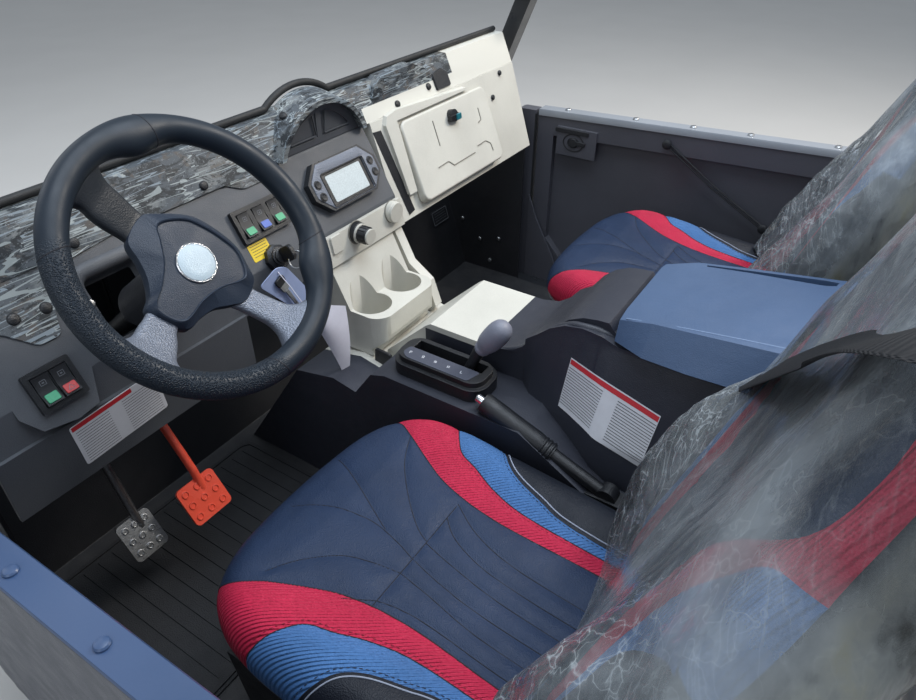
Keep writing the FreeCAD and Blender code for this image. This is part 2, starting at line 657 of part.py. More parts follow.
def glove_lid():
    left, right = S["lid_left"], S["lid_right"]
    top_y, top_z, foot_y, foot_z = S["lid_top_y"], S["lid_top_z"], S["lid_bottom_y"], S["lid_bottom_z"]
    body = prism("glove_lid", [
        (top_y, top_z), (top_y - S["lid_thick_top"], top_z + 2), (foot_y - S["lid_thick"], foot_z + 8),
        (foot_y, foot_z - 4)], (left + right) / 2, right - left)
    round_edges(body, lambda e: e.Length < 40, S["lid_corner"])
    keep("glove_lid", body)
    x, z = N["latch_x"], N["lid_top_z"] - N["latch_drop"]
    y = N["lid_top_y"] - N["lid_thick_top"] - N["latch_drop"] * 0.4
    latch = Part.makeCylinder(13, 26, Vector(x, y + 14, z - 2), Vector(0, -1, 0.25))
    latch = latch.fuse(Part.makeBox(34, 10, 12, Vector(x - 17, y - 14, z - 6)))
    keep("glove_latch", cut(solid("latch", latch), [body]))


# The console.

def cup_stack():
    top_y, top_z = S["stack_top_y"], S["dash_chin_z"] - 3.2
    foot_y, foot_z = S["stack_foot_y"], S["stack_foot_z"]
    front, rim, half, middle = S["cup_front"], S["cup_rim_z"], S["stack_half"], S["stack_mid"]
    stack = prism("cup_block", [
        (top_y, top_z), (top_y + 14, top_z), (top_y + 14, foot_z + 40), (foot_y + 110, foot_z),
        (foot_y, foot_z), (foot_y + 4, foot_z + 14), (front + 4, rim - 52), (front, rim - 40),
        (front, rim), (foot_y + 46, rim)],
        middle, 2 * half)
    for side in (-1, 1):
        at = (middle + side * S["cup_pitch"] / 2, S["cup_y"])
        ring = circle(stack, "XY_Plane", at, S["cup_radius"], rim - S["cup_depth"])
        pocket(stack, ring, 260, both_ways=False, backwards=True)
    corner = N["stack_corner"]
    rounds = []
    for side in (-1, 1):
        x, y = N["stack_mid"] + side * (N["stack_half"] - corner), N["cup_front"] + corner
        reach = corner + 2
        block = Part.makeBox(reach, reach, 400, Vector(x if side > 0 else x - reach, y - reach, 200))
        rounds.append(solid("round", block.cut(Part.makeCylinder(corner * 1.02, 400, Vector(x, y, 200)))))
    start = middle + half + S["leg_gap"]
    leg = prism("stack_leg", [
        (top_y, top_z), (top_y + 14, top_z), (top_y + 14, foot_z + 40),
        (foot_y + 30, foot_z), (foot_y, foot_z),
        (front + 12, rim - 68), (front + 30, rim - 18), (front + 74, rim + 12)],
        start + S["leg_width"] / 2, S["leg_width"])
    foot = box((middle, foot_y + 12, foot_z), (start + 2, foot_y + 40, foot_z + 12))
    keep("cup_stack", fuse([cut(stack, rounds), leg, foot]))


def tunnel():
    low, left, right = S["floor_top"], S["tunnel_left"], S["tunnel_right"]
    shelf, ridge, back = S["shelf_z"], S["ridge_z"], S["inside_back"]
    foot_y, foot_z = S["stack_foot_y"], S["stack_foot_z"]
    front, crest, floor_z = -S["box_front"], S["box_z"], S["box_floor"]
    body = prism("tunnel", [
        (back, low), (S["toe_y"] - 30, low), (foot_y + 110, foot_z - 20),
        (foot_y + 20, foot_z - S["touch_gap"]), (foot_y - 30, foot_z - 10), (210, shelf - 10),
        (180, shelf), (front + 95, shelf), (front - 35, floor_z - 25), (back, floor_z - 40)],
        (right - left) / 2, left + right)
    pad(body, outline(body, "YZ_Plane", [
        (back, floor_z - 40), (foot_y - 20, foot_z - 20), (foot_y - 14, foot_z + 6),
        (176, ridge - 8), (165, ridge), (40, ridge), (8, ridge + 7), (-12, ridge + 22), (-28, ridge + 43),
        (front + 116, crest - 48), (front + 98, crest - 22), (front + 80, crest - 6),
        (front + 58, crest + 5), (front + 36, crest + 9), (front + 19, crest + 10),
        (front + 9, crest - 2), (front, crest - 4), (front, floor_z), (back, floor_z)],
        S["ridge_x"]), 2 * S["ridge_half"])
    keep("tunnel", fuse([body, solid("flank", console_flank())]))


def console_flank():
    """The sloping side of the console beside the driver, under the wave of its upper edge."""
    inner = N["ridge_x"] - N["ridge_half"]
    reach, base = -N["flank_reach"], N["box_floor"] - 40
    crest, front = N["box_z"], -N["box_front"]
    rows = [
        # y, x at the foot, x at the shoulder, height of the shoulder
        (front + 148, inner - 1, inner - 1, crest - 66),
        (front + 126, reach + 46, inner - 6, crest - 46),
        (front + 104, reach + 38, inner - 11, crest - 24),
        (front + 80, reach + 31, inner - 14, crest - 9),
        (front + 52, reach + 24, inner - 15, crest - 3),
        (front + 22, reach + 14, inner - 16, crest - 5),
        (front - 4, reach + 4, inner - 16, crest - 14),
        (front - 250, reach, inner - 16, crest - 14),
    ]
    sections = []
    for y, foot, shoulder, high in rows:
        outer = inner - 0.5
        sections.append([
            Vector(outer, y, base), Vector(foot, y, base), Vector(foot, y, base + 90),
            Vector(shoulder, y, high - 8), Vector(shoulder + 0.4, y, high), Vector(outer, y, high)])
    return loft(sections)


def storage_box():
    half, wall, x = S["box_half"], S["box_wall"], S["box_x"]
    near, far = -S["box_front"] - S["touch_gap"], -S["box_back"]
    floor_z, top, rear_top = S["box_floor"], S["box_z"], S["box_z"] + S["box_rise"]
    side = [(far, floor_z), (near, floor_z), (near, top), (far, rear_top)]
    bin_body = prism("storage_box", side, x, 2 * half)
    pocket(bin_body, outline(bin_body, "YZ_Plane", [
        (far + wall, floor_z + wall), (near - wall, floor_z + wall), (near - wall, rear_top + 50),
        (far + wall, rear_top + 50)], x), 2 * (half - wall))
    keep("storage_box", bin_body)


def armrest_lid():
    """The faceted armrest, wider and higher towards the back, with a handle slot on its right."""
    near, far, x = -N["box_front"], -N["box_back"], N["box_x"]
    slope = N["box_rise"] / (near - far)
    skirt, wall, facet = 8, 8, 24
    rows = [
        # y, half width at the bottom, half width at the top, height of the top
        (near + 4, 104, 94, N["box_z"] + 28),
        (near - 44, 126, 101, N["box_z"] + 42),
        (near - 104, 132, 105, N["box_z"] + 50),
        (far - 6, 134, 113, N["box_z"] + 42 + N["lid_rise"] * 0.7),
    ]
    sections = []
    for y, wide, narrow, high in rows:
        low = N["box_z"] + slope * (near - y) + 2 * N["touch_gap"]
        right = [(wide - wall, low), (wide - wall, low - skirt), (wide, low - skirt),
                 (narrow, high - 5), (narrow - facet, high)]
        left = [(-across, z) for across, z in reversed(right)]
        sections.append([Vector(x + across, y, z) for across, z in right + left])
    lid = loft(sections)
    slot = polygon_face([Vector(x + across, y, N["box_z"] + 30) for across, y in (
        (84, near - 60), (92, near - 58), (100, far + 40), (96, far + 24), (82, far + 26), (78, far + 40))])
    keep("armrest_lid", solid("armrest", lid.cut(slot.extrude(Vector(0, 0, 60)))))


def selector():
    width, length, high = N["selector_width"], N["selector_length"], N["selector_high"]
    slot_width = N["slot_width"]
    gate = rounded_plate(width, length, high, 30)
    crown = rounded_plate(width - 14, length - 14, 12, 24)
    crown.translate(Vector(0, 0, high - 2))
    slot_x = 12
    slot = Part.makeBox(slot_width, length - 44, 40, Vector(slot_x - slot_width / 2, -length / 2 + 20, 8))
    gate = gate.fuse(crown).cut(slot)
    gate.translate(Vector(N["selector_x"], N["selector_y"], N["shelf_z"]))
    keep("selector_gate", solid("gate", gate))
    base = Vector(N["selector_x"] + slot_x, N["selector_y"] - 33, N["shelf_z"] + N["lever_radius"] + 5.5)
    tip = base + Vector(8, -18, 44)
    end = tip + Vector(8, -32, 46)
    radius = N["knob_radius"]
    lean = end - tip
    grip = Part.makeCone(radius - 7, radius, lean.Length, tip, lean).fuse(Part.makeSphere(radius, end))
    keep("selector_lever", solid("lever", grip.fuse(bar_between(base, tip + lean * 0.2, N["lever_radius"]))))


def park_brake(console_tunnel):
    x = N["brake_x"]
    pivot = Vector(x, N["brake_pivot_y"], N["brake_pivot_z"])
    nose = Vector(x, N["brake_nose_y"], N["brake_nose_z"])
    run = (nose - pivot).normalize()
    hub_radius, half_hub = N["brake_arm_radius"] + 6, 11
    parts = [
        bar_between(nose - run * N["brake_grip_length"], nose, N["brake_grip_radius"]),
        Part.makeCylinder(N["brake_grip_radius"] - 9, 12, nose, run),
        Part.makeCylinder(hub_radius, 2 * half_hub, pivot - Vector(half_hub, 0, 0), Vector(1, 0, 0)),
        Part.makeBox(30, 60, 16, Vector(x - 15, pivot.y - 30, pivot.z - 15.5)),
    ]
    arm = bar_between(pivot, nose, N["brake_arm_radius"])
    keep("park_brake", cut(solid("brake", arm.multiFuse(parts)), [console_tunnel]))


# Steering and pedals.

def steering_axis(sign=1):
    """Unit vector along the steering axis: sign 1 points up at the driver, -1 down the column."""
    tilt = math.radians(N["wheel_tilt"])
    return (0, -sign * math.cos(tilt), sign * math.sin(tilt))


def wheel_place():
    """The wheel's own frame: Z up the steering axis, turned as it stands."""
    aim = Rotation(Vector(0, 0, 1), Vector(*steering_axis()))
    turn = Rotation(Vector(0, 0, 1), -N["wheel_turn"])
    return Placement(Vector(N["wheel_x"], N["wheel_y"], N["wheel_z"]), aim.multiply(turn))


# Hub cover outline in the wheel's plane, and arms: angle, width at the hub and at the rim.
SHIELD = [(-14, 68), (-76, 26), (-74, -21), (-22, -83), (22, -83), (74, -21), (76, 26), (14, 68)]
ARMS = [("black", 180, 56, 42), ("silver", 0, 40, 54), ("silver", 270, 38, 36)]


def steering_arm(angle, root, wide):
    """A spoke that rises from the sunk hub to the rim."""
    reach = N["wheel_radius"] - N["rim_radius"] + 6
    rows = ((40, root, -42, 14), (84, root * 0.9, -36, 12), (reach, wide, -5, 10))
    corners = ((-1, -1), (1, -1), (1, 1), (-1, 1))
    sections = [[Vector(x, sy * width / 2, z + sz * thick / 2) for sy, sz in corners]
                for x, width, z, thick in rows]
    arm = loft(sections)
    arm.rotate(Vector(), Vector(0, 0, 1), angle)
    return arm


def steering():
    here = wheel_place()
    hub = N["hub_radius"]
    hub_low, hub_thick, sleeve_length = -50, 14, 16
    ring = Part.makeTorus(N["wheel_radius"], N["rim_radius"])
    wider = Part.makeTorus(N["wheel_radius"], N["rim_radius"] + 0.95)
    core = Part.makeCylinder(hub, hub_thick, Vector(0, 0, hub_low))
    seat = Part.makeCylinder(hub + N["touch_gap"], hub_thick, Vector(0, 0, hub_low))
    sleeve_low = Vector(0, 0, hub_low - sleeve_length)
    sleeve = Part.makeCylinder(N["shaft_radius"] + 6, sleeve_length + 4, sleeve_low)
    arms = {"black": [], "silver": []}
    for colour, angle, root, wide in ARMS:
        arms[colour].append(steering_arm(angle, root, wide))
    black = core.multiFuse([sleeve] + arms["black"])
    rows = ((-32, 1.0), (-24, 1.0), (-18, 0.82))
    cover = loft([[Vector(x * k, y * k, z) for x, y in SHIELD] for z, k in rows])
    pieces = {
        "wheel_rim": ring,
        "wheel_black_spoke": black.cut(wider),
        "wheel_silver_spokes": Part.Compound(
            [arm.cut(wider).cut(seat).cut(black) for arm in arms["silver"]]),
        "wheel_hub_cover": cover.cut(Part.Compound([black] + arms["silver"])),
    }
    for label, shape in pieces.items():
        shape.Placement = here.multiply(shape.Placement)
        keep(label, solid(label, shape))
    down = Vector(*steering_axis(-1))
    start = here.Base + down * (sleeve_length - hub_low + N["touch_gap"])
    wide = N["shroud_radius"]
    shroud = Part.makeCone(wide, wide + 3, N["shroud_length"], start + down * 6, down)
    shaft = Part.makeCylinder(N["shaft_radius"], N["column_length"], start, down)
    keep("steering_column", solid("column", shroud.fuse(shaft)))


# Pedals: node, middle, hanger y and z, pad y and z, pad width.
PEDALS = [
    ("accelerator_pedal", "accelerator_x", 470, 420, 396, 205, 74),
    ("brake_pedal", "brake_pedal_x", 480, 400, 440, 178, 60),
]


def pedals():
    radius, hub_radius, hub_width, lug = (N[k] for k in (
        "pedal_arm_radius", "pedal_hub_radius", "pedal_hub_width", "lug_thick"))
    plate_y = 505
    low_x, high_x = N["brake_pedal_x"] - 40, N["accelerator_x"] + 60
    bracket = [Part.makeBox(high_x - low_x, 6, 90, Vector(low_x, plate_y, 380))]
    for label, place_name, hanger_y, hanger_z, pad_y, pad_z, pad_width in PEDALS:
        x = N[place_name]
        path = [Vector(x, hanger_y, hanger_z), Vector(x, hanger_y + 10, (hanger_z + pad_z) / 2 + 40),
                Vector(x, pad_y + 12, pad_z + 34), Vector(x, pad_y, pad_z)]
        hub_end = path[0] - Vector(hub_width / 2, 0, 0)
        hub = Part.makeCylinder(hub_radius, hub_width, hub_end, Vector(1, 0, 0))
        runs = [bar_between(a, b, radius) for a, b in zip(path, path[1:])]
        knees = [Part.makeSphere(radius, point) for point in path[1:]]
        plate = rounded_plate(pad_width, 70, 5, 8)
        plate.Placement = Placement(Vector(x - 8, pad_y - 8, pad_z - 10), Rotation(Vector(1, 0, 0), 55))
        keep(label, solid(label, hub.multiFuse(runs + knees + [plate])))
        for edge in (x - hub_width / 2 - lug, x + hub_width / 2):
            foot = Vector(edge, hanger_y - 12, hanger_z - 17)
            bracket.append(Part.makeBox(lug, plate_y - hanger_y + 12, 44, foot))
    strap = Part.makeBox(50, 6, N["beam_z"] - 460, Vector(high_x - 50, plate_y, 460))
    shape = bracket[0].multiFuse(bracket[1:] + [strap])
    hanger = box((S["wheel_x"] - 24, S["beam_y"] - 6, 430),
                 (S["wheel_x"] + 24, S["beam_y"] + 6, S["beam_z"]))
    gap = S["touch_gap"]
    shaft = rod((S["wheel_x"], S["wheel_y"], S["wheel_z"]), steering_axis(-1), S["shaft_radius"] + gap, 600)
    beam = rod((-900, S["beam_y"], S["beam_z"]), (1, 0, 0), S["beam_radius"] + gap, 1800)
    keep("pedal_bracket", cut(fuse([solid("bracket", shape), hanger]),
                              [PIECES["accelerator_pedal"], PIECES["brake_pedal"], beam, shaft]))


# Seats: plain closed forms of the cushions, on the real size and place.

def seat_block(x, rows, corner=24):
    """A loft of eight-cornered sections, from rows of y, half width, bottom and top."""
    sections = []
    for y, half, low, high in rows:
        sections.append([
            Vector(x - half + corner, y, low), Vector(x + half - corner, y, low),
            Vector(x + half, y, low + corner), Vector(x + half, y, high - corner),
            Vector(x + half - corner, y, high), Vector(x - half + corner, y, high),
            Vector(x - half, y, high - corner), Vector(x - half, y, low + corner)])
    return loft(sections)


def seats():
    top, low, thick = N["cushion_top"], N["cushion_low"], N["back_thick"]
    front, back, half, wide = N["cushion_front"], -N["cushion_back"], N["cushion_half"], N["back_half"]
    recline = math.radians(N["recline"])
    length = N["back_high"] / math.cos(recline)
    along_back = Vector(0, -math.sin(recline), math.cos(recline))
    behind = Vector(0, -math.cos(recline), -math.sin(recline))
    hip = Vector(0, back + 44, top + 16)
    for name, side in (("driver", -1), ("passenger", 1)):
        x = side * N["seat_x"]
        keep(f"{name}_cushion", solid("cushion", seat_block(x, [
            (front, half * 0.55, low + 30, top - 34), (front - 30, half * 0.82, low + 8, top - 8),
            (front - 120, half * 0.97, low, top), (back, half, low, top)])))
        shape = seat_block(0, [
            (0, half, 0, thick), (length * 0.45, wide, 0, thick), (length * 0.75, wide * 0.8, 0, thick),
            (length, wide * 0.5, 20, thick - 20)])
        shape.rotate(Vector(), Vector(1, 0, 0), 90 + N["recline"])
        shape.translate(hip + Vector(x, 0, 0))
        keep(f"{name}_backrest", solid("backrest", shape))
        slides = [box((x + dx - 16, back + 20, S["base_top"]),
                      (x + dx + 16, front - 60, S["cushion_low"] - S["touch_gap"])) for dx in (-130, 130)]
        foot = hip + behind * (thick + N["touch_gap"])
        high = foot + along_back * 60
        base = N["base_top"]
        rail = [(back + 20, base), (back - 90, base), (high.y - 14, high.z), (high.y, high.z),
                (foot.y, foot.z), (foot.y, base + 12), (back + 20, base + 12)]
        strap = polygon_face([Vector(x - 146, y, z) for y, z in rail]).extrude(Vector(292, 0, 0))
        keep(f"{name}_seat_frame", fuse([solid("seat_strap", strap)] + slides))


# Half doors, hung at the back on the rear posts. Heights of the door's knuckles.
DOOR_HINGES = (170, 440)


def hinge_place(side):
    """Middle of the hinge pins, behind the door's rear edge."""
    return side * S["door_mid"], S["door_back"] - 14


def hinge_pins(side):
    """The pins with their brackets on the rear post."""
    x, y = hinge_place(side)
    low, drop = S["knuckle_high"] + S["hinge_gap"], S["hinge_gap"]
    parts = []
    for z in DOOR_HINGES:
        parts.append(rod((x, y, z - low), (0, 0, 1), S["door_pin"] + S["knuckle_wall"], S["knuckle_high"]))
        parts.append(rod((x, y, z - low), (0, 0, 1), S["door_pin"], low + S["knuckle_high"] + 2))
        face = side * (S["rail_mid"] + S["half_post"])
        left, right = (x, face) if side < 0 else (face, x)
        parts.append(box((left, y - 6, z - low), (right, y + 6, z - drop)))
    return parts


def doors():
    inner, thick, wall = S["door_inner"], S["door_thick"], S["door_wall"]
    front, back, top, low = S["door_front"], S["door_back"], S["door_top"], S["door_bottom"]
    for name, side in (("left", -1), ("right", 1)):
        body = prism(f"{name}_door", [
            (back, low + 60), (back + 60, low), (front - 80, low), (front, low + 90), (front, top),
            (back, top + 40)], side * S["door_mid"], thick)
        pocket(body, outline(body, "YZ_Plane", [
            (back + 50, low + 90), (back + 90, low + 50), (front - 110, low + 50), (front - 46, low + 120),
            (front - 46, top - 60), (back + 50, top - 30)], side * (inner + wall)), 2 * wall)
        x, y = hinge_place(side)
        pin, high = S["door_pin"], S["knuckle_high"]
        knuckles = [rod((x, y, z), (0, 0, 1), pin + S["knuckle_wall"], high) for z in DOOR_HINGES]
        leaves = [box((x - 8, y, z), (x + 8, back, z + high)) for z in DOOR_HINGES]
        bores = [rod((x, y, z - 5), (0, 0, 1), pin + S["pin_gap"], high + 10) for z in DOOR_HINGES]
        edges = (-inner, S["latch_thick"] - inner) if side < 0 else (inner - S["latch_thick"], inner)
        latch = box((edges[0], S["latch_back"], S["latch_low"]),
                    (edges[1], S["latch_front"], S["latch_high"]))
        keep(f"{name}_door", cut(fuse([body, latch] + knuckles + leaves), bores))


frame_rails()
posts()
floor()
seat_bases()
dash_panel()
dash_top()
gauge_hood()
windscreen_seal()
display()
accessory_strip()
switches()
glove_box()
glove_lid()
cup_stack()
tunnel()
storage_box()
armrest_lid()
selector()
park_brake(PIECES["tunnel"])
steering()
pedals()
seats()
doors()
doc.recompute()

failed = [o.Label for o in doc.Objects if "Invalid" in o.State or "Error" in o.State]
if failed:
    raise RuntimeError(f"these objects failed: {failed}")
for label, feature in PIECES.items():
    shape = feature.Shape
    if shape.isNull() or not shape.isValid() or not shape.Solids:
        raise RuntimeError(f"{label} has no valid solid")
    whole = Part.Compound(shape.Solids) if len(shape.Solids) > 1 else shape.Solids[0]
    whole.exportStep(f"parts/{label}.step")
print(f"{len(PIECES)} pieces written")
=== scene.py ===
import bpy
import math
import numpy as np
from mathutils import Matrix, Vector, noise
from mathutils.bvhtree import BVHTree


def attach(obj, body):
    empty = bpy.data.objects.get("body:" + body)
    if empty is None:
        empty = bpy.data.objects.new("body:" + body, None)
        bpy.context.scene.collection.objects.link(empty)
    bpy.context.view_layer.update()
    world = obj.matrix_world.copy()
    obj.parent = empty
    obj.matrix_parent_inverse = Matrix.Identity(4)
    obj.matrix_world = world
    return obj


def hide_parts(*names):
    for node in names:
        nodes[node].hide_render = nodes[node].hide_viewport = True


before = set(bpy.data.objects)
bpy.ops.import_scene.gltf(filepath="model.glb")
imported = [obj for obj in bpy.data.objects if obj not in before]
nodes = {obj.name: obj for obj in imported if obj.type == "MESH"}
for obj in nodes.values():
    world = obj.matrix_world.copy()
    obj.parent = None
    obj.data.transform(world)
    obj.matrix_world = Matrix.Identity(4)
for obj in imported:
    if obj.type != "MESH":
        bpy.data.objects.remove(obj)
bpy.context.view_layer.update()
scene = bpy.context.scene
MM = 0.001
noise.seed_set(11)  # the folds of the film draw on it
UPRIGHT = (1, 0, 0), (0, 0, 1)
LEVEL = (1, 0, 0), (0, 1, 0)
LOOKS = {}


# Meshes. Shapes are drawn in millimetres, in the row frame.

def unit(v):
    v = np.asarray(v, float)
    return v / np.linalg.norm(v)


def spline(points, step=4.0, closed=False):
    """Points along a smooth curve through the given ones."""
    p = np.asarray(points, float)
    n = len(p)
    out = []
    for i in range(n if closed else n - 1):
        if closed:
            a, b, c, d = (p[(i + k) % n] for k in (-1, 0, 1, 2))
        else:
            a, b, c, d = p[max(i - 1, 0)], p[i], p[i + 1], p[min(i + 2, n - 1)]
        count = max(2, int(np.linalg.norm(c - b) / step))
        t = np.arange(count)[:, None] / count
        out.append(0.5 * (2 * b + (c - a) * t + (2 * a - 5 * b + 4 * c - d) * t ** 2
                          + (3 * b - a - 3 * c + d) * t ** 3))
    if not closed:
        out.append(p[-1:])
    return np.vstack(out)


def evenly(points, step):
    """Points a fixed distance apart along a line."""
    p = np.asarray(points, float)
    run = np.concatenate([[0], np.cumsum(np.linalg.norm(np.diff(p, axis=0), axis=1))])
    at = np.arange(0, run[-1], step)
    return np.stack([np.interp(at, run, p[:, k]) for k in range(p.shape[1])], axis=1)


def rounded(points, radius, steps=4):
    """A polygon with its corners rounded."""
    p = [np.asarray(q, float) for q in points]
    out = []
    for i, q in enumerate(p):
        a, b = p[i - 1] - q, p[(i + 1) % len(p)] - q
        r = min(radius, np.linalg.norm(a) * 0.45, np.linalg.norm(b) * 0.45)
        start, end = q + unit(a) * r, q + unit(b) * r
        for k in range(steps + 1):
            t = k / steps
            out.append((1 - t) ** 2 * start + 2 * t * (1 - t) * q + t * t * end)
    return np.array(out)


def circle(radius, sides=24):
    a = np.linspace(0, 2 * np.pi, sides, endpoint=False)
    return np.stack([radius * np.cos(a), radius * np.sin(a)], axis=1)


def box_outline(left, low, right, high):
    return [(left, low), (right, low), (right, high), (left, high)]


def hump(x, middle, width):
    """A smooth bump of height 1."""
    return np.exp(-((x - middle) / width) ** 2)


def squared(wave, power):
    """A sine or cosine drawn out towards the corners of a square."""
    return np.sign(wave) * np.abs(wave) ** power


class Place:
    """A flat frame of its own: origin, across, up, and out of the surface."""

    def __init__(self, origin, across, up):
        self.origin = np.asarray(origin, float)
        self.across, self.up = unit(across), unit(up)
        self.out = np.cross(self.across, self.up)

    def __call__(self, a, b, c=0.0):
        a, b, c = (np.asarray(k, float)[..., None] for k in (a, b, c))
        return self.origin + a * self.across + b * self.up + c * self.out

    def at(self, a, b, c=0.0):
        """The same directions, from another point of this place."""
        return Place(self(a, b, c), self.across, self.up)


def inwards(x, y, z, side=1):
    """A place on the side wall, facing the middle of the cab."""
    return Place((x, y, z), (0, -side, 0), (0, 0, 1))


class Cast(Place):
    """A place whose points are laid on the surface of a carried-over node."""

    ABOVE, FAR = 90, 260

    def __init__(self, node, origin, across, up):
        super().__init__(origin, across, up)
        mesh, matrix = nodes[node].data, nodes[node].matrix_world
        verts = [matrix @ v.co / MM for v in mesh.vertices]
        self.tree = BVHTree.FromPolygons(verts, [tuple(p.vertices) for p in mesh.polygons])

    def __call__(self, a, b, c=0.0):
        flat = super().__call__(a, b, 0.0)
        lift = np.broadcast_to(np.asarray(c, float), flat.shape[:-1]).reshape(-1)
        out = []
        for point, high in zip(flat.reshape(-1, 3), lift):
            hit = self.tree.ray_cast(Vector(point + self.out * self.ABOVE), Vector(-self.out), self.FAR)[0]
            out.append((point if hit is None else np.array(hit)) + self.out * high)
        return np.array(out).reshape(flat.shape)


class Shape:
    """Parts collected into one mesh."""

    def __init__(self):
        self.verts, self.faces, self.looks, self.count = [], [], [], 0

    def add(self, verts, faces, look=0):
        verts = np.asarray(verts, float).reshape(-1, 3)
        self.faces += [tuple(int(i) + self.count for i in f) for f in faces]
        self.looks += [look] * len(faces)
        self.verts.append(verts)
        self.count += len(verts)
        return self

    def grid(self, points, around=False, look=0, caps=False):
        """A surface through rows of points, closed along each row if around."""
        rows, columns = points.shape[:2]
        at = np.arange(rows * columns).reshape(rows, columns)
        last = columns if around else columns - 1
        faces = [(at[i, j], at[i, (j + 1) % columns], at[i + 1, (j + 1) % columns], at[i + 1, j])
                 for i in range(rows - 1) for j in range(last)]
        if caps:
            faces += [tuple(at[0][::-1]), tuple(at[-1])]
        return self.add(points, faces, look)

    def tube(self, points, radius, sides=8, closed=False, flat=1.0, look=0):
        p = np.asarray(points, float)
        ahead = np.roll(p, -1, 0) - np.roll(p, 1, 0) if closed else np.gradient(p, axis=0)
        t = ahead / np.maximum(np.linalg.norm(ahead, axis=1, keepdims=True), 1e-9)
        side = np.cross(t[0], (0, 0, 1) if abs(t[0][2]) < 0.9 else (1, 0, 0))
        radii = np.broadcast_to(np.asarray(radius, float), len(p))
        angle = np.linspace(0, 2 * np.pi, sides, endpoint=False)[:, None]
        rows = []
        for q, along, r in zip(p, t, radii):
            side = unit(side - along * np.dot(side, along))
            rows.append(q + r * (np.cos(angle) * side + flat * np.sin(angle) * np.cross(along, side)))
        if closed:
            rows.append(rows[0])
        return self.grid(np.array(rows), around=True, look=look, caps=not closed)

    def lathe(self, profile, place, sides=24, look=0):
        """Radius and height pairs turned about the place's outward axis."""
        ring = circle(1.0, sides)
        rows = [place(ring[:, 0] * r, ring[:, 1] * r, np.full(sides, h)) for r, h in profile]
        return self.grid(np.array(rows), around=True, look=look, caps=True)

    def plate(self, outline, place, thick, edge=0.6, low=0.0, look=0):
        """A flat plate with a chamfered edge; its outline runs anticlockwise."""
        p = np.asarray(outline, float)
        if np.sum(p[:, 0] * np.roll(p[:, 1], -1) - np.roll(p[:, 0], -1) * p[:, 1]) < 0:
            p = p[::-1]
        a, b = p - np.roll(p, 1, 0), np.roll(p, -1, 0) - p
        inward = sum(np.stack([-k[:, 1], k[:, 0]], 1) / np.maximum(np.linalg.norm(k, axis=1), 1e-9)[:, None]
                     for k in (a, b))
        inward /= np.maximum((inward * inward).sum(1), 0.5)[:, None] / 2
        n = len(p)
        rows = []
        for inset, height in ((0, low), (0, thick - edge), (edge, thick)):
            q = p + inward * inset
            rows.append(place(q[:, 0], q[:, 1], np.full(n, height)))
        return self.grid(np.array(rows), around=True, look=look, caps=True)

    def head(self, place, a, b, radius, high, look=0):
        """The domed head of a rivet or screw."""
        profile = [(radius, -0.6), (radius, high * 0.45), (radius * 0.82, high * 0.82), (radius * 0.42, high)]
        return self.lathe(profile, place.at(a, b), 20, look)

    def hoop(self, place, outline, radius, sides=8, lift=0, look=0):
        """A thin round bead along a closed outline."""
        return self.tube(place(outline[:, 0], outline[:, 1], lift), radius, sides, closed=True, look=look)

    def ink(self, place, a, b, c, d, high, look=0):
        """A flat mark from a, b to c, d."""
        return self.add(place([a, c, c, a], [b, b, d, d], high), [(0, 1, 2, 3)], look)

    def line(self, place, points, width, high, look=0):
        """A raised rib or printed stroke along a line on the place."""
        p = np.asarray(points, float)
        t = np.gradient(p, axis=0)
        n = np.column_stack([-t[:, 1], t[:, 0]])
        n = n / np.maximum(np.linalg.norm(t, axis=1), 1e-9)[:, None] * width / 2
        rows = [place(q[:, 0], q[:, 1], h) for q, h in (
            (p - n, -0.2), (p - n * 0.6, high), (p + n * 0.6, high), (p + n, -0.2))]
        return self.grid(np.array(rows), look=look)

    def build(self, name, looks, slot="", body="cab", replaces=(), smooth=35):
        """Makes the piece. Its looks are names, put on the mesh in order; the slot is worked out from the first look
        but not used.
        """
        mesh = bpy.data.meshes.new(name)
        mesh.from_pydata((np.vstack(self.verts) * MM).tolist(), [], self.faces)
        looks = looks.split()
        for look in looks:
            mesh.materials.append(LOOKS[look])
        mesh.polygons.foreach_set("material_index", self.looks)
        mesh.polygons.foreach_set("use_smooth", [True] * len(self.faces))
        mesh.set_sharp_from_angle(angle=math.radians(smooth))
        obj = bpy.data.objects.new(name, mesh)
        scene.collection.objects.link(obj)
        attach(obj, body)
        if slot == "" and looks[0] in SLOTS:
            slot = looks[0]
        if replaces:
            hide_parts(*replaces)
        return obj


def set_values(obj, values):
    """Stores a number for each vertex under each name, for the materials to read."""
    for name, numbers in values.items():
        data = obj.data.attributes.new(name, "FLOAT", "POINT").data
        data.foreach_set("value", np.ravel(numbers).astype(np.float32))
    obj.data.update()


def soften(name, width=1.2, segments=2):
    """Rounds the edges of a carried-over node."""
    obj = nodes[name]
    for kind, settings in (
            ("WELD", {"merge_threshold": 0.00002}),
            ("DECIMATE", {"decimate_type": "DISSOLVE", "angle_limit": math.radians(1.5)}),
            ("BEVEL", {"width": width * MM, "segments": segments, "limit_method": "ANGLE",
                       "angle_limit": math.radians(32), "use_clamp_overlap": True, "harden_normals": False}),
            ("WEIGHTED_NORMAL", {"keep_sharp": True})):
        modifier = obj.modifiers.new(kind.lower(), kind)
        for key, value in settings.items():
            setattr(modifier, key, value)
    mesh = obj.data
    mesh.polygons.foreach_set("use_smooth", [True] * len(mesh.polygons))


# Materials. Textures run on the object's own coordinates, in metres.

# The pale cream that the dark plastic shows in sunlight: painted sunlight on the light plastic, the right of the dash
# top, the tunnel's shelf and the strip's cap and blank.
SUNLIT_CREAM = (0.63, 0.615, 0.55)
NAVY_GREY = (0.026, 0.029, 0.042)


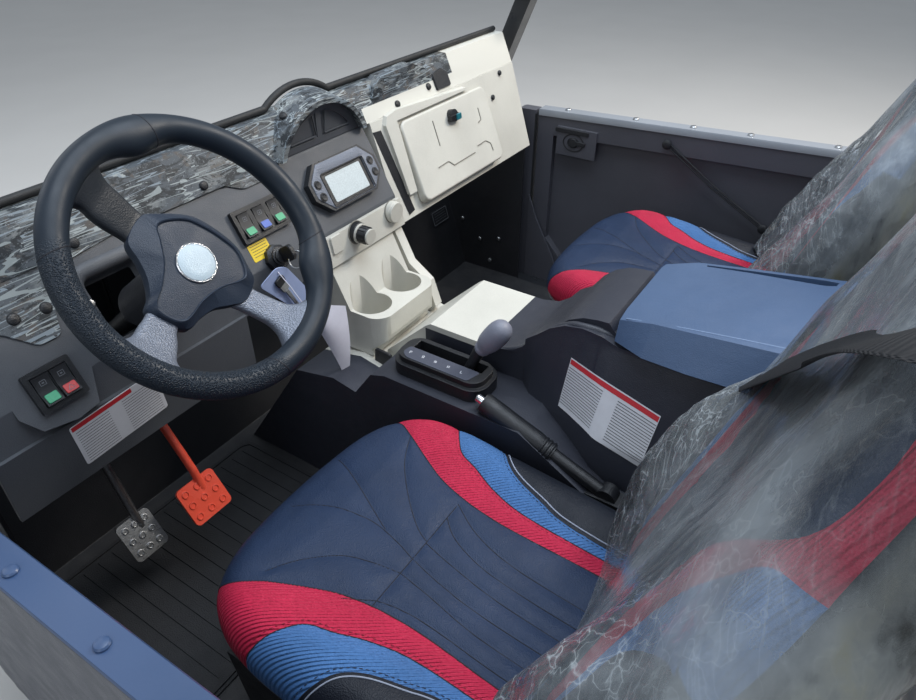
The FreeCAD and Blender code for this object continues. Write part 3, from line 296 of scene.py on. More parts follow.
class Look:
    def __init__(self, name, colour, rough=0.5, **sockets):
        self.material = bpy.data.materials.new(name)
        self.material.use_nodes = True
        LOOKS[name] = self.material
        self.tree = self.material.node_tree
        self.shader = self.tree.nodes["Principled BSDF"]
        self.place = self.add("TexCoord", out="Object")
        self.colour, self.rough, self.normal = (*colour, 1), rough, None
        for socket, value in sockets.items():
            self.shader.inputs[socket.replace("_", " ")].default_value = value

    def feed(self, socket, value):
        if isinstance(value, bpy.types.NodeSocket):
            self.tree.links.new(value, socket)
        elif value is not None:
            socket.default_value = value

    def add(self, kind, out=0, settings=(), **inputs):
        node = self.tree.nodes.new("ShaderNode" + kind)
        for key, value in dict(settings).items():
            setattr(node, key, value)
        for key, value in inputs.items():
            self.feed(node.inputs[key.replace("_", " ")], value)
        return node.outputs[out]

    def math(self, operation, *values):
        node = self.tree.nodes.new("ShaderNodeMath")
        node.operation = operation
        for socket, value in zip(node.inputs, values):
            self.feed(socket, value)
        return node.outputs[0]

    def times(self, a, b):
        return self.math("MULTIPLY", a, b)

    def over(self, value, edge):
        """1 where the value is above the edge, or 0."""
        return self.math("GREATER_THAN", value, edge)

    def stored(self, name):
        """The piece's own value under a name."""
        return self.add("Attribute", out="Fac", settings={"attribute_name": name})

    def axis(self, k, vector=None):
        return self.add("SeparateXYZ", out=k, Vector=vector or self.place)

    def away(self, value, middle=0.5):
        return self.math("ABSOLUTE", self.math("SUBTRACT", value, middle))

    def mapped(self, scale=(1, 1, 1), turn=(0, 0, 0), vector=None):
        return self.add("Mapping", Vector=vector or self.place, Scale=scale, Rotation=turn)

    def noise(self, scale, detail=2.0, stretch=None, turn=(0, 0, 0), rough=0.5, warp=0.0):
        place = self.place
        if stretch:
            place = self.mapped(stretch, turn)
        return self.add("TexNoise", Vector=place, Scale=scale, Detail=detail, Roughness=rough, Distortion=warp)

    def cells(self, scale, vector=None):
        return self.add("TexVoronoi", Vector=vector or self.place, Scale=scale)

    def ramp(self, value, *stops):
        node = self.tree.nodes.new("ShaderNodeValToRGB")
        self.tree.links.new(value, node.inputs[0])
        ramp = node.color_ramp
        while len(ramp.elements) < len(stops):
            ramp.elements.new(0.5)
        for element, (at, colour) in zip(ramp.elements, stops):
            element.position = at
            element.color = (*colour, 1) if hasattr(colour, "__len__") else (colour, colour, colour, 1)
        return node.outputs[0]

    def mix(self, amount, a, b, mode="MIX"):
        a, b = (((*k, 1) if hasattr(k, "__len__") and len(k) == 3 else k) for k in (a, b))
        return self.add("MixRGB", Fac=amount, Color1=a, Color2=b, settings={"blend_type": mode})

    def shade(self, value, low):
        """Darkens the colour where the value is low."""
        self.colour = self.mix(1.0, self.colour, self.ramp(value, (0.32, low), (0.68, 1.0)), "MULTIPLY")
        return self

    def tint(self, value, colour, start, end, most=1.0):
        """Lays another colour over where the value passes from start to end."""
        amount = self.add("MapRange", Value=value, From_Min=start, From_Max=end, To_Max=most)
        self.colour = self.mix(amount, self.colour, colour)
        return self

    def bump(self, height, depth):
        self.normal = self.add("Bump", Height=height, Distance=depth, Normal=self.normal)
        return self

    def vary(self, value, spread):
        """Lets the roughness follow the value."""
        low, high = self.rough - spread, self.rough + spread
        self.rough = self.add("MapRange", Value=value, From_Min=0.3, From_Max=0.7, To_Min=low, To_Max=high)
        return self

    def mottle(self, scale, low, grain, fine):
        """Broad and fine unevenness of the colour."""
        return self.shade(self.noise(*scale), low).shade(self.noise(grain, 2), fine)

    def dust(self, colour, most):
        """Fine dust on faces that look up."""
        up = self.axis(2, self.add("NewGeometry", out="Normal"))
        patch = self.times(self.math("MAXIMUM", up, 0.0), self.noise(22, 5, rough=0.65))
        return self.tint(patch, colour, 0.25, 0.75, most)

    def done(self):
        self.feed(self.shader.inputs["Base Color"], self.colour)
        self.feed(self.shader.inputs["Roughness"], self.rough)
        self.feed(self.shader.inputs["Normal"], self.normal)


def moulded(name, colour, rough=0.5, grain=1.0, dust=0.0, depth=0.00025, **sockets):
    """Moulded plastic with a fine grain."""
    look = Look(name, colour, rough, **sockets)
    look.vary(look.noise(35, 3), 0.07)
    look.mottle((7, 4), 0.86, 1100, 0.9)
    if dust:
        look.dust((0.42, 0.4, 0.36), dust)
    look.bump(look.cells(900 / grain), depth).bump(look.noise(60, 2), 0.0004)
    look.done()


def painted(name, colour, rough=0.32, **sockets):
    look = Look(name, colour, rough, Coat_Weight=0.3, Coat_Roughness=0.2, **sockets)
    look.vary(look.noise(25, 4), 0.08)
    look.shade(look.noise(5, 3), 0.85)
    look.bump(look.noise(260, 2), 0.00012)
    look.done()


def metal(name, colour, rough=0.3, stretch=(1, 1, 20)):
    look = Look(name, colour, rough, Metallic=1.0)
    streaks = look.noise(160, 4, stretch=stretch)
    look.vary(streaks, 0.1)
    look.shade(streaks, 0.82)
    look.bump(streaks, 0.00008)
    look.done()


def bark_print(name, pale=False):
    """A generic print of bark, grass and leaves; with pale set, painted sunlight in the pale colour takes the place of
    the print at the right of the dash.
    """
    look = Look(name, (0.070, 0.082, 0.094), 0.45)
    look.vary(look.noise(30, 3), 0.06)
    look.tint(look.noise(11, 6, stretch=(1, 1.6, 2.2), rough=0.6), (0.16, 0.172, 0.175), 0.52, 0.6)
    look.tint(look.noise(17, 5, stretch=(1.5, 1, 2), warp=1.5), (0.09, 0.072, 0.058), 0.55, 0.62, 0.7)
    look.tint(look.noise(26, 6, stretch=(1, 2.5, 2.5), warp=0.8, rough=0.7), (0.018, 0.022, 0.026), 0.5, 0.56)
    for turn, scale, colour in ((0.5, 20, (0.25, 0.28, 0.28)), (-0.45, 26, (0.21, 0.25, 0.28)),
                                (0.15, 34, (0.32, 0.35, 0.35))):
        blade = look.noise(scale, 1.5, stretch=(0.28, 3.2, 3.2), turn=(0, turn, turn * 0.5), warp=0.5)
        gate = look.over(look.noise(9 + scale * 0.2, 3), 0.49)
        mask = look.times(look.math("LESS_THAN", look.away(blade), 0.017), gate)
        look.colour = look.mix(mask, look.colour, colour)
    flecks = look.over(look.noise(330, 3, rough=0.7), 0.63)
    look.colour = look.mix(look.times(flecks, 0.35), look.colour, (0.38, 0.41, 0.43))
    # Painted sunlight: right of x 0.118 m, below z 0.688 m or right of x 0.425 m.
    if pale:
        x, z = look.axis(0), look.axis(2)
        low = look.math("MAXIMUM", look.math("SUBTRACT", 1.0, look.over(z, 0.688)), look.over(x, 0.425))
        look.colour = look.mix(look.times(look.over(x, 0.118), low), look.colour, SUNLIT_CREAM)
    look.bump(look.cells(800), 0.00015)
    look.done()


def tunnel_cover(name):
    """Dark plastic, with painted sunlight, in the pale colour, on the flat shelf in front and on the top of the ridge.
    """
    look = Look(name, NAVY_GREY, 0.5)
    look.vary(look.noise(35, 3), 0.07)
    x, y, z = (look.axis(k) for k in range(3))
    # Painted sunlight: where the ridge's top faces up, and the front of the shelf.
    above = look.times(look.times(look.over(z, 0.414), look.over(x, -0.0865)), look.over(y, 0.0565))
    front = look.times(look.over(x, -0.118), look.over(y, 0.1756))
    look.colour = look.mix(look.math("MAXIMUM", above, front), look.colour, SUNLIT_CREAM)
    look.mottle((7, 4), 0.86, 1100, 0.9)
    look.bump(look.cells(640), 0.0002).bump(look.noise(60, 2), 0.0004)
    look.done()


RIB_PITCH, RIB_TURN = 0.004, math.radians(-38.5)


def upholstery(name):
    """Seat cover: plain leather in the middle, then ribbed red, ribbed blue and black."""
    look = Look(name, (0.017, 0.033, 0.076), 0.5, Specular_IOR_Level=0.24)
    look.vary(look.noise(40, 4), 0.07)
    zones = {}
    for zone, colour in (("red", (0.56, 0.022, 0.070)), ("blue", (0.068, 0.180, 0.42)),
                         ("black", (0.010, 0.013, 0.021)), ("below", (0.012, 0.013, 0.018))):
        zones[zone] = look.over(look.stored(zone), 0.0)
        look.colour = look.mix(zones[zone], look.colour, colour)
    look.mottle((16, 5), 0.84, 900, 0.86)
    along = look.axis(0, look.mapped(turn=(0, 0, RIB_TURN)))
    wave = look.math("SINE", look.times(along, 2 * math.pi / RIB_PITCH))
    plain = look.math("MAXIMUM", zones["black"], zones["below"])
    look.bump(look.times(look.math("SUBTRACT", zones["red"], plain), wave), 0.0007)
    look.bump(look.cells(620), 0.00045).bump(look.noise(75, 5, rough=0.6), 0.0007)
    look.done()


def crumpled_film(name):
    """Clear packing film: hazy and glossy on its facets, with painted glints as whiter lines along its fine creases,
    and on its sides a painted reflection of olive ground and dark streaks.
    """
    look = Look(name, (0.70, 0.76, 0.79), 0.35, Specular_IOR_Level=0.5)
    crisp, flank, haze = (look.stored(k) for k in ("crisp", "flank", "haze"))
    tilt = (math.radians(-17), 0, 0)

    def ridges(scale, lean, thin):
        turned = look.mapped(turn=(math.radians(17), lean, lean * 0.6))
        value = look.add("TexNoise", Vector=look.mapped((1.5, 1.5, 0.2), vector=turned), Scale=scale, Detail=2.5,
                         Roughness=0.45)
        return look.ramp(look.away(value), (0.0, 1.0), (thin, 0.35), (thin * 3, 0.0))

    streaks = look.noise(16, 5, stretch=(1.6, 1.2, 0.3), turn=tilt, rough=0.6)
    patch = look.noise(9, 4, stretch=(1, 1, 0.5), turn=tilt)
    # Painted glints: the whiter lines along the creases.
    lines = look.math("ADD", look.times(ridges(26, 0.5, 0.007), 0.6), look.times(ridges(38, -0.55, 0.010), 0.55))
    lines = look.times(lines, look.math("ADD", look.times(crisp, 0.5), 0.06))
    veil = look.math("ADD", look.times(streaks, 0.5), look.times(patch, 0.5))
    veil = look.add("MapRange", Value=veil, From_Min=0.38, From_Max=0.62, To_Min=0.11, To_Max=0.31)
    veil = look.times(veil, look.math("SUBTRACT", 1.0, look.times(crisp, 0.3)))
    veil = look.math("MAXIMUM", look.math("ADD", veil, haze), 0.06)
    # Painted reflection on the film's sides: olive ground and dark streaks, with a thicker veil.
    reflected_olive = look.ramp(streaks, (0.38, 0.0), (0.62, 1.0))
    look.colour = look.mix(look.times(flank, reflected_olive), look.colour, (0.27, 0.26, 0.18))
    look.colour = look.mix(look.times(flank, look.math("SUBTRACT", 1.0, reflected_olive)), look.colour, (0.09, 0.095, 0.09))
    large = look.cells(30.0, look.mapped((1, 1, 0.5), (0.3, 0.5, 0.2)))
    small = look.cells(75.0, look.mapped((1, 1, 0.6), (0.1, 0.4, 0.3)))
    look.bump(streaks, 0.006).bump(large, 0.004).bump(look.times(small, crisp), 0.003)
    look.done()
    tree = look.tree
    clear, gloss, first, last = (tree.nodes.new("Shader" + kind) for kind in (
        "NodeBsdfTransparent", "NodeBsdfGlossy", "NodeMixShader", "NodeMixShader"))
    clear.inputs["Color"].default_value = (0.92, 0.95, 0.97, 1)
    gloss.inputs["Roughness"].default_value = 0.2
    look.feed(gloss.inputs["Normal"], look.normal)
    edge_on = look.add("Fresnel", IOR=1.22, Normal=look.normal)
    total = look.math("ADD", look.math("ADD", veil, lines), look.times(flank, 0.4))
    total = look.math("MINIMUM", total, 0.95)
    for node, amount, low, high in ((first, edge_on, clear, gloss), (last, total, first, look.shader)):
        for socket, value in zip(node.inputs, (amount, low.outputs[0], high.outputs[0])):
            look.feed(socket, value)
    look.feed(tree.nodes["Material Output"].inputs["Surface"], last.outputs[0])


def webbing(name):
    look = Look(name, (0.016, 0.017, 0.020), 0.7, Specular_IOR_Level=0.25)
    look.shade(look.noise(900, 2), 0.7)
    u, v = look.axis(0), look.axis(2)
    weave, cross = (look.math("SINE", look.times(way, 2 * math.pi / 0.0024)) for way in (
        look.math("ADD", u, v), look.math("SUBTRACT", v, u)))
    look.bump(look.times(weave, cross), 0.0004)
    look.done()


def grip_rubber(name):
    """Soft black rim: smooth above, pebbled below."""
    look = Look(name, (0.013, 0.020, 0.030), 0.44, Specular_IOR_Level=0.32)
    look.vary(look.noise(45, 3), 0.08)
    look.shade(look.noise(12, 3), 0.85)
    mask = look.add("MapRange", Value=look.stored("pebbled"), From_Min=-0.5, From_Max=0.5)
    pebbles = look.ramp(look.cells(520), (0.1, 1.0), (0.6, 0.0))
    look.bump(look.times(pebbles, mask), 0.0011).bump(look.noise(700, 2), 0.00012)
    look.done()


def lamp(name, colour, strength=0.1):
    look = Look(name, colour, 0.4, Coat_Weight=0.15, Emission_Color=(*colour, 1), Emission_Strength=strength)
    look.shade(look.noise(500, 2), 0.8)
    look.bump(look.cells(1500), 0.0001)
    look.done()


def card(name, colour):
    """Printed card or sticker with a faint fibre."""
    look = Look(name, colour, 0.42)
    look.mottle((60, 3), 0.94, 1400, 0.93)
    look.bump(look.noise(300, 2), 0.0001)
    look.done()


# Colour, roughness, coarseness of the grain, and dust.
MOULDED = {
    "black_plastic": ((0.013, 0.014, 0.018), 0.6, 1.4, 0.05), "dash_plastic": ((0.080, 0.086, 0.098), 0.5, 1.0),
    # The light plastic's pale colour is painted sunlight on dark plastic.
    "light_plastic": (SUNLIT_CREAM, 0.5, 1.2), "console_plastic": (NAVY_GREY, 0.5, 1.6, 0.04),
    "switch_plastic": ((0.012, 0.013, 0.016), 0.36, 0.8), "display_plastic": ((0.020, 0.022, 0.026), 0.34, 0.8),
    "seal_rubber": ((0.010, 0.011, 0.012), 0.6, 0.7), "hub_black": ((0.016, 0.020, 0.026), 0.42, 1.4),
    "pale_badge": ((0.50, 0.60, 0.66), 0.3, 1.0), "door_paint": ((0.080, 0.082, 0.100), 0.46, 1.6, 0.05),
    "thread_dark": ((0.010, 0.010, 0.016), 0.7, 0.5), "thread_red": ((0.30, 0.008, 0.03), 0.6, 0.5),
    "thread_pale": ((0.34, 0.38, 0.48), 0.6, 0.5), "piping_pale": ((0.20, 0.21, 0.23), 0.5, 0.6),
    # The shade line's dark colour is painted shade, for the rings round the strip's knob and cap and for the glove
    # lid's ribs.
    "groove": ((0.22, 0.21, 0.18), 0.6, 0.6), "print_ink": ((0.03, 0.03, 0.035), 0.6, 0.5),
    "knob_grey": ((0.20, 0.21, 0.26), 0.42, 1.0), "gate_plate": ((0.060, 0.066, 0.094), 0.4, 1.0),
    # The crease highlight's pale blue is a painted highlight on the armrest lid.
    "teal_plastic": ((0.01, 0.16, 0.20), 0.3, 0.8), "lid_edge": ((0.15, 0.22, 0.36), 0.4, 1.0),
}
for name, numbers in MOULDED.items():
    moulded(name, *numbers)
# The armrest lid's blue: its own navy, made bluer by a painted reflection of the sky.
moulded("lid_plastic", (0.064, 0.110, 0.205), 0.45, 1.3, depth=0.0002)
moulded("hub_plastic", (0.020, 0.030, 0.050), 0.42, 1.2, Specular_IOR_Level=0.35)
moulded("silver", (0.17, 0.19, 0.235), 0.4, 1.8, depth=0.0007, Metallic=0.3)
moulded("mat_rubber", (0.012, 0.013, 0.016), 0.62, 1.8, depth=0.0006)
for make, table in (
        (painted, {"frame_paint": ((0.022, 0.024, 0.028),), "red_paint": ((0.88, 0.105, 0.06), 0.3),
                   "door_edge": ((0.26, 0.28, 0.31), 0.4), "rail_blue": ((0.035, 0.070, 0.155), 0.42)}),
        (metal, {"steel": ((0.52, 0.53, 0.54), 0.34), "chrome": ((0.75, 0.76, 0.78), 0.12)}),
        (card, {"yellow_card": ((0.80, 0.58, 0.03),), "white_card": ((0.66, 0.67, 0.71),),
                "red_card": ((0.55, 0.03, 0.04),), "tag_blue": ((0.34, 0.42, 0.66),),
                "pale_card": ((0.66, 0.66, 0.76),)}),
        (lamp, {"green_lamp": ((0.02, 0.30, 0.14),), "blue_lamp": ((0.03, 0.09, 0.40),),
                "red_lamp": ((0.48, 0.02, 0.02),), "screen_glass": ((0.54, 0.60, 0.61), 0.0)})):
    for name, numbers in table.items():
        make(name, *numbers)
bark_print("printed_plastic")
bark_print("dash_top_print", True)
tunnel_cover("shelf_plastic")
upholstery("seat_leather")
crumpled_film("clear_film")
webbing("belt_web")
grip_rubber("grip")

SLOTS = {old.name.split(".")[0] for node in nodes.values() for old in node.data.materials}
# Painted light in these looks: sunlight on the tunnel's shelf and on the right of the dash top, and the sky's
# reflection in part of the armrest lid's blue.
LOOK_OF = {"armrest_lid": "lid_plastic", "tunnel": "shelf_plastic", "dash_top": "dash_top_print"}
ROUND_NODES = "wheel_rim", "windscreen_seal", "belt_bar", "dash_beam"
BIG_NODE = 0.4
for name, node in nodes.items():
    for i, old in enumerate(list(node.data.materials)):
        node.data.materials[i] = LOOKS[old.name.split(".")[0]]
    if name == "glove_lid":
        soften(name, 5, 3)
    elif name not in ROUND_NODES:
        soften(name, 1.6 if node.dimensions.length > BIG_NODE else 0.8)
for name, look in LOOK_OF.items():
    nodes[name].data.materials[0] = LOOKS[look]


# Seats.

SEAT_X = 441
SEAT_MID = np.array([0.0, -90.0])
HALF_OUTLINE = [(0, 147), (70, 144), (130, 134), (178, 108), (206, 66), (218, 15), (221, -50), (220, -150),
                (217, -250), (208, -303), (180, -327), (100, -331), (0, -332)]
# Where each zone of the cover begins: place along the seat, distance from its middle.
SEAT_EDGES = {
    "red": [(-335, 98), (-225, 95), (-150, 92), (-110, 93), (-73, 97), (-33, 106), (0, 120), (50, 146), (88, 167),
            (120, 174), (150, 178)],
    "blue": [(-335, 120), (-250, 120), (-150, 122), (-97, 133), (-56, 150), (-28, 160), (-10, 180), (12, 213),
             (30, 240), (60, 300), (150, 500)],
    "black": [(-335, 135), (-256, 137), (-193, 142), (-160, 152), (-120, 165), (-93, 182), (-71, 210), (-50, 240),
              (0, 320), (150, 600)]}
SEAT_SEAMS = [
    [(-97, -69), (82, -69)], [(60, 117), (46, 84), (5, 2), (-3, -16)],
    [(145, 53), (103, 32), (60, -5), (25, -45), (13, -69)], [(-41, 112), (-16, 65), (-4, 8), (-9, -36), (-18, -69)],
    [(-135, 62), (-100, 39), (-67, 4), (-52, -31), (-43, -69)], [(-111, -34), (-89, -69)],
    [(59, -69), (38, -95), (23, -141), (18, -200), (17, -322)], [(11, -69), (3, -111), (-6, -187), (-8, -322)],
    [(-18, -69), (-27, -117), (-33, -180), (-34, -322)], [(-43, -69), (-48, -115), (-58, -189), (-60, -322)],
    [(-89, -69), (-82, -97), (-79, -137), (-82, -218), (-84, -322)],
    [(86, -69), (62, -110), (48, -160), (44, -220), (43, -322)]]
SEAM_SINK = 2.6
PIPING_Z, SEAT_LOW = 322.0, 272.0
PAD_RINGS, PAD_FLAT = 72, 56
ROLL = 38.0


def seat_outline():
    half = np.array(HALF_OUTLINE, float)
    left = half[1:-1][::-1] * (-1, 1)
    return spline(np.vstack([half, left]), 3, closed=True)


def seat_reach():
    """Distance from the seat's middle to its edge, by direction."""
    p = seat_outline() - SEAT_MID
    angle = np.arctan2(p[:, 1], p[:, 0])
    order = np.argsort(angle)
    return angle[order], np.linalg.norm(p, axis=1)[order]


REACH_ANGLE, REACH = seat_reach()


def reach(x, y):
    return np.interp(np.arctan2(y - SEAT_MID[1], x - SEAT_MID[0]), REACH_ANGLE, REACH, period=2 * np.pi)


def seat_crown(x, y):
    base = np.interp(y, [-333, -225, -100, 0, 50, 90, 147], [354, 362, 373, 383, 387, 385, 374])
    side = hump(np.abs(x), 172, 34) * np.interp(y, [-330, 20, 90], [9, 7, 0])
    return base + side - 4 * hump(x, 0, 90) * np.interp(y, [-330, 60], [1, 0])


def seam_gap(x, y, curve):
    """Signed distance outside one of the mirrored seams."""
    fine = spline(curve, 3)
    edge = np.interp(y, fine[:, 0], fine[:, 1])
    slope = np.gradient(fine[:, 1], fine[:, 0])
    return (np.abs(x) - edge) / np.sqrt(1 + np.interp(y, fine[:, 0], slope) ** 2)


def distance_to(x, y, line):
    p = np.asarray(line, float)
    best = np.full(x.shape, 1e9)
    for a, b in zip(p, p[1:]):
        d = b - a
        t = np.clip(((x - a[0]) * d[0] + (y - a[1]) * d[1]) / (d @ d), 0, 1)
        best = np.minimum(best, np.hypot(x - a[0] - t * d[0], y - a[1] - t * d[1]))
    return best


def seam_distance(x, y, edges, seams):
    gap = np.full(x.shape, 1e9)
    for curve in edges.values():
        gap = np.minimum(gap, np.abs(seam_gap(x, y, curve)))
    for line in seams:
        gap = np.minimum(gap, distance_to(x, y, spline(line, 12)))
    return gap


def puff(gap, high, wide, deep):
    """How far the cover stands out between its seams, and sinks into them."""
    return high * (1 - hump(gap, 0, wide)) - deep * hump(gap, 0, SEAM_SINK)


def seat_relief(x, y):
    return puff(seam_distance(x, y, SEAT_EDGES, SEAT_SEAMS), 2.2, 13, 1.5)


def pull_in(t):
    """How far the cushion's side draws in, from its edge at 0 to the piping at 1."""
    return 7 * t - 3.2 * np.sin(np.pi * t)


def inside_edge(x, y):
    return reach(x, y) - np.hypot(x - SEAT_MID[0], y - SEAT_MID[1])


def on_seat(x, y, lift=0.0):
    """Height of the finished seat top."""
    inside = inside_edge(x, y)
    depth = np.clip(ROLL - inside, 0, ROLL)
    drop = ROLL - np.sqrt(ROLL ** 2 - depth ** 2)
    return seat_crown(x, y) - drop + seat_relief(x, y) * np.clip(inside / 12, 0, 1) + lift


def seat_pad(name, side, node):
    """A crowned cushion: a top of nested rings, a rolled edge, and a side that pulls in to its piping."""
    n = 2 * PAD_RINGS
    u, v = np.meshgrid(np.linspace(-1, 1, n + 1), np.linspace(-1, 1, n + 1), indexing="ij")
    ring = np.rint(np.maximum(np.abs(u), np.abs(v)) * PAD_RINGS)
    angle = np.arctan2(v * 1.08, u)
    far = reach(np.cos(angle) + SEAT_MID[0], np.sin(angle) + SEAT_MID[1])
    turn = np.clip((ring - PAD_FLAT) / (PAD_RINGS - PAD_FLAT), 0, 1) * np.pi / 2
    inner = (far - ROLL) * np.clip(ring / PAD_FLAT, 0, 1)
    out = np.where(ring <= PAD_FLAT, inner, far - ROLL * (1 - np.sin(turn)))
    x, y = SEAT_MID[0] + np.cos(angle) * out, SEAT_MID[1] + np.sin(angle) * out
    drop = np.where(ring > PAD_FLAT, ROLL * (1 - np.cos(turn)), 0)
    z = seat_crown(x, y) - drop + seat_relief(x, y) * np.clip((far - out) / 12, 0, 1)
    top = np.stack([x, y, z], axis=-1)
    loop = [(i, 0) for i in range(n)] + [(n, j) for j in range(n)]
    loop += [(n - i, n - j) for i, j in loop]
    rim = np.array([top[i, j] for i, j in loop])
    aim = rim[:, :2] - SEAT_MID
    aim /= np.linalg.norm(aim, axis=1)[:, None]
    side_rows = [(rim[:, 2] + (PIPING_Z - rim[:, 2]) * t, pull_in(t)) for t in np.linspace(0.06, 1, 12)]
    side_rows += [(PIPING_Z - 3, 11), (310, 10), (298, 11), (286, 13), (SEAT_LOW + 5, 17), (SEAT_LOW, 26)]
    rows = [np.column_stack([rim[:, :2] - aim * pull, np.broadcast_to(height, len(rim))]) for height, pull in side_rows]
    at = np.arange((n + 1) ** 2).reshape(n + 1, n + 1)
    faces = [(at[i, j], at[i + 1, j], at[i + 1, j + 1], at[i, j + 1]) for i in range(n) for j in range(n)]
    start, m = (n + 1) ** 2, len(loop)
    rings = [[at[i, j] for i, j in loop]] + [[start + k * m + q for q in range(m)] for k in range(len(rows))]
    for upper, lower in zip(rings, rings[1:]):
        faces += [(upper[q], lower[q], lower[(q + 1) % m], upper[(q + 1) % m]) for q in range(m)]
    faces.append(tuple(rings[-1]))
    points = np.vstack([top.reshape(-1, 3)] + rows)
    values = {zone: seam_gap(points[:, 0], points[:, 1], edge) for zone, edge in SEAT_EDGES.items()}
    values["below"] = PIPING_Z - points[:, 2]
    shape = Shape().add(points + (side * SEAT_X, 0, 0), faces)
    obj = shape.build(name, "seat_leather", replaces=[node], smooth=60)
    set_values(obj, values)


def seat_line(points, lift):
    """A line over the seat top and down its side to the piping."""
    p = evenly(spline(points, 3), 1.5)
    inside = inside_edge(p[:, 0], p[:, 1])
    keep = p[inside > 0.8]
    line = np.column_stack([keep, on_seat(keep[:, 0], keep[:, 1], lift)])
    if inside[-1] < 0.8:
        end = line[-1]
        aim = unit(end[:2] - SEAT_MID)
        steps = np.arange(end[2] - 2, PIPING_Z + 1, -2.0)
        pull = pull_in((end[2] - steps) / (end[2] - PIPING_Z)) - lift
        line = np.vstack([line, np.column_stack([end[0] - aim[0] * pull, end[1] - aim[1] * pull, steps])])
    return line


def stitched(shape, line, pitch=7.0, length=4.4, radius=0.5, look=0):
    """A row of short raised stitches."""
    step = 0.7
    p = evenly(line, step)
    every, run = int(pitch / step), int(length / step)
    for k in range(0, len(p) - run, every):
        piece = p[k:k + run + 1:2]
        if len(piece) > 2:
            shape.tube(piece, [radius * 0.5] + [radius] * (len(piece) - 2) + [radius * 0.5], 5, look=look)


def seat_sewing(name, side):
    """Welts along the zones, with stitches or a pale cord beside them, the seams, and the piping."""
    sewing = Shape()
    move = np.array([side * SEAT_X, 0, 0])
    welt, dark, red, pale = (0, 0.8, 0), (-4.6, 0.5, 0), (-4.6, 0.5, 1), (4.6, 0.9, 2)
    for sign in (-1, 1):
        for zone, rows in (("red", [welt]), ("blue", [welt, red]), ("black", [welt, dark, pale])):
            fine = spline(SEAT_EDGES[zone], 3)
            slope = np.gradient(fine[:, 1], fine[:, 0])
            for row in rows:
                offset, radius, look = row
                shift = offset * np.sqrt(1 + slope ** 2)
                line = seat_line(np.column_stack([(fine[:, 1] + shift) * sign, fine[:, 0]])[::4], 0.25)
                if row in (welt, pale):
                    sewing.tube(line + move, radius, 6, look=look)
                else:
                    stitched(sewing, line + move, look=look)
    for seam in SEAT_SEAMS:
        sewing.tube(seat_line(seam, 0.3) + move, 0.55, 5)
    sewing.build(name + "_sewing", "thread_dark thread_red thread_pale", "seat_leather")
    outline = seat_outline()
    aim = outline - SEAT_MID
    aim /= np.linalg.norm(aim, axis=1)[:, None]
    ring = np.column_stack([outline - aim * 6.0, np.full(len(outline), PIPING_Z - 1)])
    Shape().tube(ring + move, 2.6, 8, closed=True).build(name + "_piping", "piping_pale", "seat_leather")


for who, side in (("driver", -1), ("passenger", 1)):
    seat_pad(f"{who}_seat_pad", side, f"{who}_cushion")
    seat_sewing(f"{who}_seat", side)


# Seat backs, in a frame of their own: across, up along the back, and forwards.

BACK_TILT = math.radians(17)
BACK_UP = np.array([0, -math.sin(BACK_TILT), math.cos(BACK_TILT)])
BACK_OUT = np.array([0, math.cos(BACK_TILT), math.sin(BACK_TILT)])
BACK_LONG, BACK_ROLL, BACK_MID, BACK_DEEP = 588.0, 36.0, -53.0, 51
BACK_HALF = [(0, 206), (120, 219), (265, 223), (380, 205), (441, 182), (520, 150), (588, 118)]
BACK_EDGES = {
    "red": [(-40, 90), (100, 84), (200, 82), (300, 98), (371, 132), (404, 150), (441, 166), (480, 158), (520, 138),
            (588, 104), (640, 90)],
    "blue": [(-40, 132), (100, 130), (200, 130), (300, 138), (371, 156), (404, 168), (425, 186), (440, 220),
             (455, 300), (640, 900)],
    "black": [(-40, 150), (150, 150), (240, 156), (290, 175), (325, 205), (350, 270), (640, 1200)]}
BACK_SEAMS = [
    [(-90, 190), (90, 190)], [(0, 190), (6, 120), (10, 0)], [(-35, 190), (-32, 120), (-30, 0)],
    [(42, 190), (40, 120), (38, 0)], [(-68, 190), (-62, 120), (-60, 0)], [(72, 190), (68, 120), (64, 0)],
    [(0, 190), (-6, 300), (-30, 400), (-70, 470)], [(0, 190), (8, 300), (34, 400), (74, 470)],
    [(-40, 190), (-60, 270), (-84, 330)], [(40, 190), (60, 270), (84, 330)]]
BELT_WIDE, BELT_THICK, BELT_FLAT = 46, 1.6, (0.046, 1.16)
FILM_LOW, FILM_STEP, FILM_ROOM = -46, 5.0, 8
FILM_OPEN = 40  # below this height the film's foot is drawn together and hangs free
# Folds of the film: how many to the metre, and how deep in millimetres.
FOLDS, FINE_FOLD, DEEPEST_FOLD = ((11, 11.0), (27, 6.0), (58, 2.4)), (70, 1.6), -4.5


def on_back(side, w, s, n):
    """A point of the seat back's own frame."""
    w, s, n = (np.asarray(k, float)[..., None] for k in (w, s, n))
    return np.array([side * SEAT_X, -286.0, 404.0]) + w * (1, 0, 0) + s * BACK_UP + n * BACK_OUT


def back_section(s, angle, grow=0.0):
    """One ring of the seat back at height s, larger by grow."""
    curve = spline(BACK_HALF, 8)
    end = np.clip((BACK_ROLL - np.minimum(s, BACK_LONG - s)) / BACK_ROLL, 0, 1)
    tuck = BACK_ROLL * (1 - np.sqrt(1 - end ** 2))
    half = np.interp(s, curve[:, 0], curve[:, 1]) - tuck + grow
    deep = BACK_DEEP - tuck + grow
    w = half * squared(np.cos(angle), 0.42)
    n = BACK_MID + deep * squared(np.sin(angle), 0.62)
    front = np.clip(np.sin(angle) * 2.2, 0, 1) * (1 - end)
    hollow = hump(w, 0, 96) * np.interp(s, [0, 120, 260, 430, 588], [14, 9, 16, 22, 8])
    wing = hump(np.abs(w), 0.8 * half, 30) * np.interp(s, [0, 60, 230, 275, 400, 500], [4, 8, 4, -7, -7, -10])
    return w, n + front * (wing - hollow)


